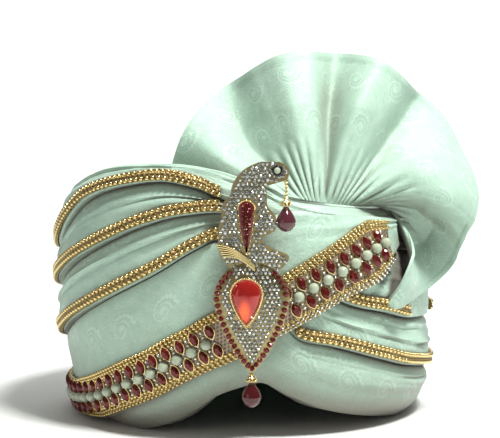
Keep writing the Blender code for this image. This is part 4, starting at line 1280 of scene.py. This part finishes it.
rim_spots = []
inner_rim = pear(MEDAL_WIDE - RIM_STONE, MEDAL_TALL - 1.35 * RIM_STONE, MEDAL_TOP - RIM_STONE / 2,
                 BROOCH_X, 400)
gone = 0.0
for (x1, z1), (x2, z2) in zip(inner_rim, inner_rim[1:] + inner_rim[:1]):
    gone += math.hypot(x2 - x1, z2 - z1)
    if gone >= RIM_STONE * 0.98:
        gone = 0.0
        if z1 < PLUME_BASE or abs(x1 - BROOCH_X) > JOINT_HALF:
            rim_spots.append(front_spot(x2, z2, RIM_STONE * 0.96))

centre = pear(CENTRE_WIDE, CENTRE_TALL, CENTRE_TOP, CENTRE_X)
inlay = pear(INLAY_WIDE, INLAY_TALL, INLAY_TOP, INLAY_X)


def staggered(left, right, low, high, across, up, shift):
    """Points of staggered rows that fill a rectangle."""
    row = 0
    while low < high:
        x = left + (row % 2) * shift
        while x < right:
            yield x, low
            x += across
        low += up
        row += 1


chips = []
for x, z in staggered(BROOCH_X - 0.03, BROOCH_X + 0.03, MEDAL_TOP - MEDAL_TALL, PLUME_BASE + PLUME_TALL,
                      CHIP * 0.97, CHIP * 0.88, CHIP / 2):
    x, z = x + random.uniform(-0.0002, 0.0002), z + random.uniform(-0.0002, 0.0002)
    in_medal = inset(x, z, medal)
    near_top = z > PLUME_BASE - 0.002 and abs(x - BROOCH_X) < JOINT_HALF
    border = CHIP * 0.5 if near_top else RIM_STONE * 1.05 + CHIP / 2
    if in_medal > border and inset(x, z, centre) < -0.0008 - CHIP / 2:
        chips.append(front_spot(x, z, CHIP * random.uniform(0.84, 0.98)))
    elif in_medal < 0 and inset(x, z, plume) > CHIP * 0.42 and inset(x, z, inlay) < -0.0003 - CHIP / 2:
        chips.append(front_spot(x, z, CHIP * random.uniform(0.84, 1.08), -0.0004))

brilliant = [(0.80, 0.0), (1.0, 0.22), (0.66, 0.46), (0.50, 0.52)]
glass = Finish("foiled_glass", (0.74, 0.71, 0.58), 0.10, 0.92)
# Painted glints: the stones' colour is switched at random between near white and dark grey, standing in for
# facets that catch or miss the light.
painted_glint = glass.grain(520.0, 1.0)
glass.shade(Base_Color=glass.mix(painted_glint.above(0.38, 0.62), (0.22, 0.24, 0.22, 1), (0.95, 0.97, 0.92, 1)))
set_stones("brooch_chips", chips, faceted(circle(8), brilliant), glass, "brooch_metal", "brooch_frame", False)
set_stones("brooch_rim_stones", rim_spots, faceted(circle(8), brilliant), maroon, "maroon_stone",
           "brooch_frame", False)

claws = []
for x, z in pear(CENTRE_WIDE + 0.0017, CENTRE_TALL + 0.0026, CENTRE_TOP + 0.0009, CENTRE_X, 44):
    claws.append(front_spot(x, z, 0.0013, 0.0007))
for x, z in pear(INLAY_WIDE + 0.0010, INLAY_TALL + 0.0016, INLAY_TOP + 0.0006, INLAY_X, 40):
    claws.append(front_spot(x, z, 0.0011, 0.0003))
set_stones("brooch_grains", claws, ball(2), gold, "brooch_metal", "brooch_frame")
bezel_rings = [(face_y + 0.0002, -0.0012), (face_y - 0.0010, -0.0011), (face_y - 0.0013, -0.0006),
               (face_y - 0.0010, 0.0002)]
add_solid("centre_bezel", upright(centre, bezel_rings), gold, "brooch_metal", "brooch_frame")


def wires(name, lines, thick, node):
    """Round gilt wires through lists of (x, y, z) points, as one piece."""
    bm = bmesh.new()
    for line in lines:
        points = [AXIS + Vector(point) for point in line]
        rings = []
        for index, point in enumerate(points):
            along = (points[min(index + 1, len(points) - 1)] - points[max(index - 1, 0)]).normalized()
            side = along.cross(FRONT).normalized()
            face = side.cross(along).normalized()
            rings.append([bm.verts.new(point + x * side + y * face) for x, y in circle(8, thick)])
        skinned(bm, rings)
    add_solid(name, bm, gold, "brooch_metal", node)


LEAF_LEFT = BROOCH_X - 0.0205
LEAF_LONG = 0.0225
LEAF_TOP = MEDAL_TOP + 0.0105
LEAF_FALL = 0.0125
LEAF_BOW = 0.0030
LEAF_WIRES = 6
LEAF_STEPS = 12
LEAF_WIRE = 0.0011
strands = []
for index in range(LEAF_WIRES):
    strand = []
    for step in range(LEAF_STEPS + 1):
        share = step / LEAF_STEPS
        bow = sin(pi * share)
        x = LEAF_LEFT + LEAF_LONG * share + 0.0008 * index * (1 - share)
        z = LEAF_TOP - LEAF_FALL * share + LEAF_BOW * bow - 0.0014 * index * (1 - 0.6 * share)
        strand.append((x, face_y - 0.0012 - 0.0010 * bow, z))
    strands.append(strand)
wires("brooch_wires", strands, LEAF_WIRE, "brooch_frame")


# Red stone: a pear-cut glass stone of deep orange red, foiled behind, held in the gilt bezel. Its colour is
# painted brighter toward its lower left and made to glow there, a painted highlight.
red = Finish("red_glass", (0.80, 0.035, 0.008), 0.05, 0.35, Coat_Weight=1.0, Coat_Roughness=0.03)
side, _, height = red.parts(red.node("ShaderNodeTexCoord", {}, {}, 3))
low = (height - (CENTRE_TOP - CENTRE_TALL)) / CENTRE_TALL - 0.30
beside = (side - (AXIS.x + CENTRE_X - 0.0012)) / CENTRE_WIDE
# Painted highlight: a bright spot painted into the stone's colour and emission, low on its left.
painted_highlight = 1 - ((beside * beside * 5.0 + low * low * 3.0) ** 0.5).above(0.05, 0.60)
red.shade(Base_Color=red.mix(painted_highlight, (0.42, 0.012, 0.008, 1), (0.98, 0.10, 0.015, 1)),
          Emission_Color=red.mix(painted_highlight, (0.0, 0.0, 0.0, 1), (1.0, 0.14, 0.01, 1)), Emission_Strength=0.45)
GIRDLE_OUT = 0.0010
# Cut: how far behind the girdle (negative in front of it), share of the outline
CENTRE_CUT = [
    (0.0006, 0.985), (-0.0006, 1.0), (-0.0022, 0.90), (-0.0034, 0.74), (-0.0041, 0.55), (-0.0044, 0.36),
]
focus = Vector((CENTRE_X, CENTRE_TOP - CENTRE_WIDE * 0.58))
girdle = pear(CENTRE_WIDE, CENTRE_TALL, CENTRE_TOP, CENTRE_X, 44)
gem = bmesh.new()
gem_rings = []
for deep, share in CENTRE_CUT:
    ring = [focus + (Vector(point) - focus) * share for point in girdle]
    gem_rings.append([gem.verts.new(AXIS + Vector((x, face_y - GIRDLE_OUT + deep, z))) for x, z in ring])
add_solid("red_pear", skinned(gem, gem_rings), red, "red_stone", "centre_stone", 14)


# Plume inlay: a long maroon enamel drop set with tiny maroon chips and gilt grains.
enamel = Finish("maroon_enamel", (0.16, 0.010, 0.014), 0.22, 0.0, Coat_Weight=0.6)
inlay_rings = [(face_y + 0.0004, 0.0), (face_y - 0.0004, 0.0), (face_y - 0.0009, 0.0007)]
add_solid("inlay_plate", upright(inlay, inlay_rings), enamel, "maroon_stone", "plume_inlay")
tiny, grains = [], []
for x, z in staggered(INLAY_X - INLAY_WIDE / 2, INLAY_X + INLAY_WIDE / 2, INLAY_TOP - INLAY_TALL, INLAY_TOP,
                      0.0017, 0.0015, 0.0008):
    if inset(x, z, inlay) > 0.0009:
        tiny.append(front_spot(x, z, 0.0016 * random.uniform(0.85, 1.1), 0.0008))
        if random.random() < 0.30:
            grains.append(front_spot(x + 0.0008, z + 0.0004, 0.0008, 0.0011))
set_stones("inlay_chips", tiny, faceted(circle(6), brilliant), maroon, "maroon_stone", "plume_inlay", False)
set_stones("inlay_grains", grains, ball(1), gold, "brooch_metal", "plume_inlay")


# Eye bead: a small pearl in a blackened cup at the tip of the plume's curl.
ALONG = Vector((1, 0, 0))
EYE_X = STEM_X + 0.20 * PLUME_TALL
EYE_Z = PLUME_BASE + 0.92 * PLUME_TALL
black = Finish("blackened_silver", (0.03, 0.03, 0.03), 0.28, 0.8)
set_stones("eye_cup", [(AXIS + Vector((EYE_X, face_y - 0.0006, EYE_Z)), ALONG, FRONT, 0.0062)],
           ring_bead(20, 8, 0.14), black, "brooch_metal", "eye_bead")
set_stones("eye_pearl", [(AXIS + Vector((EYE_X, face_y - 0.0010, EYE_Z)), ALONG, FRONT, 0.0040)],
           ball(3), pearl, "pearl", "eye_bead")


# Hanging drops: two maroon glass drops in gilt caps set with grains, one on a twisted wire from
# the plume's curl, the other close under the medallion's point.
DROP_WIDE = 0.0118
DROP_TALL = 0.0150
CAP_WIDE = 0.0062
CAP_TALL = 0.0046
HANG_GAP = 0.0003
GRAIN = 0.0014
LINK_WIRE = 0.0008
LINK_HALF = 0.0006
LINK_TURNS = 2.5
LINK_STEPS = 24
HOOP_HALF = 0.0022
HOOP_SIDES = 20
DROP_X = STEM_X + 0.28 * PLUME_TALL
DROP_Y = BROOCH_Y + 0.002
LINK_TOP = PLUME_BASE + 0.835 * PLUME_TALL
CAP_TOP = PLUME_BASE + 0.67 * PLUME_TALL
DROP_ROWS = [
    (0.0, 0.03), (0.04, 0.40), (0.12, 0.66), (0.26, 0.93), (0.40, 1.0), (0.62, 0.84), (0.84, 0.48),
    (1.0, 0.20),
]
CAP_ROWS = [(0.0, 1.0), (0.30, 0.96), (0.62, 0.62), (0.85, 0.36), (1.0, 0.24)]
# Rings of grains on a cap: share of its height, grains, distance from its middle
CAP_GRAINS = [(0.15, 9, 0.0033), (0.55, 6, 0.0024), (0.95, 4, 0.0011)]


def turned(rows, wide, tall, x, top, sides, count):
    """Round piece turned about an upright line through (height share, width share) rows."""
    bm = bmesh.new()
    rings = []
    for index in range(count):
        up = index / (count - 1)
        middle = AXIS + Vector((x, DROP_Y, top - tall * (1 - up)))
        ring = circle(sides, wide * curve(rows, up, 1, False))
        rings.append([bm.verts.new(middle + Vector((a, b, 0))) for a, b in ring])
    return skinned(bm, rings)


smoke = Finish("smoky_glass", (0.10, 0.022, 0.030), 0.07, 0.15, Coat_Weight=0.7)
wine = Finish("wine_glass", (0.07, 0.004, 0.005), 0.08, 0.15, Coat_Weight=0.6)
for prefix, top, x, finish in (("", CAP_TOP, DROP_X, smoke),
                               ("lower_", MEDAL_TOP - MEDAL_TALL - HANG_GAP, BROOCH_X, wine)):
    drop = turned(DROP_ROWS, DROP_WIDE, DROP_TALL, x, top - CAP_TALL - HANG_GAP, 28, 26)
    add_solid(prefix + "glass_drop", drop, finish, "maroon_stone", prefix + "drop")
    cap = turned(CAP_ROWS, CAP_WIDE, CAP_TALL, x, top, 16, 9)
    add_solid(prefix + "gilt_cap", cap, gold, "brooch_metal", prefix + "drop_cap")
    beads = []
    for level, ring, reach in CAP_GRAINS:
        for index in range(ring):
            angle = tau * index / ring
            out = Vector((cos(angle), sin(angle), 0))
            point = AXIS + Vector((x, DROP_Y, top - CAP_TALL * (1 - level))) + out * reach * 0.9
            beads.append((point, Vector((0, 0, 1)), out, GRAIN))
    set_stones(prefix + "cap_grains", beads, ball(2), gold, "brooch_metal", prefix + "drop_cap")

twist = []
for phase in (0, pi):
    line = []
    for index in range(LINK_STEPS + 1):
        share = index / LINK_STEPS
        angle = phase + share * tau * LINK_TURNS
        line.append((DROP_X + LINK_HALF * cos(angle), DROP_Y + LINK_HALF * sin(angle),
                     CAP_TOP + (LINK_TOP - CAP_TOP) * share))
    twist.append(line)
hoop = []
for index in range(HOOP_SIDES + 1):
    angle = tau * index / HOOP_SIDES
    hoop.append((DROP_X - 0.0012 + HOOP_HALF * cos(angle), DROP_Y,
                 LINK_TOP + 0.0018 + HOOP_HALF * sin(angle)))
wires("drop_wire", twist + [hoop], LINK_WIRE, "drop_link")


# Brooch pin: one plain gilt steel pin, soldered behind the medallion and run into the cloth.
PIN_WIDE = 0.0030
pin_low, pin_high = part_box("brooch_pin")
pin_middle = (Vector(pin_low) + Vector(pin_high)) / 2
pin = bmesh.new()
bmesh.ops.create_cone(pin, cap_ends=True, segments=20, radius1=PIN_WIDE / 2, radius2=PIN_WIDE / 2,
                      depth=pin_high[1] - pin_low[1],
                      matrix=Matrix.Translation(pin_middle) @ Matrix.Rotation(pi / 2, 4, "X"))
add_solid("pin", pin, gold, "brooch_metal", "brooch_pin")
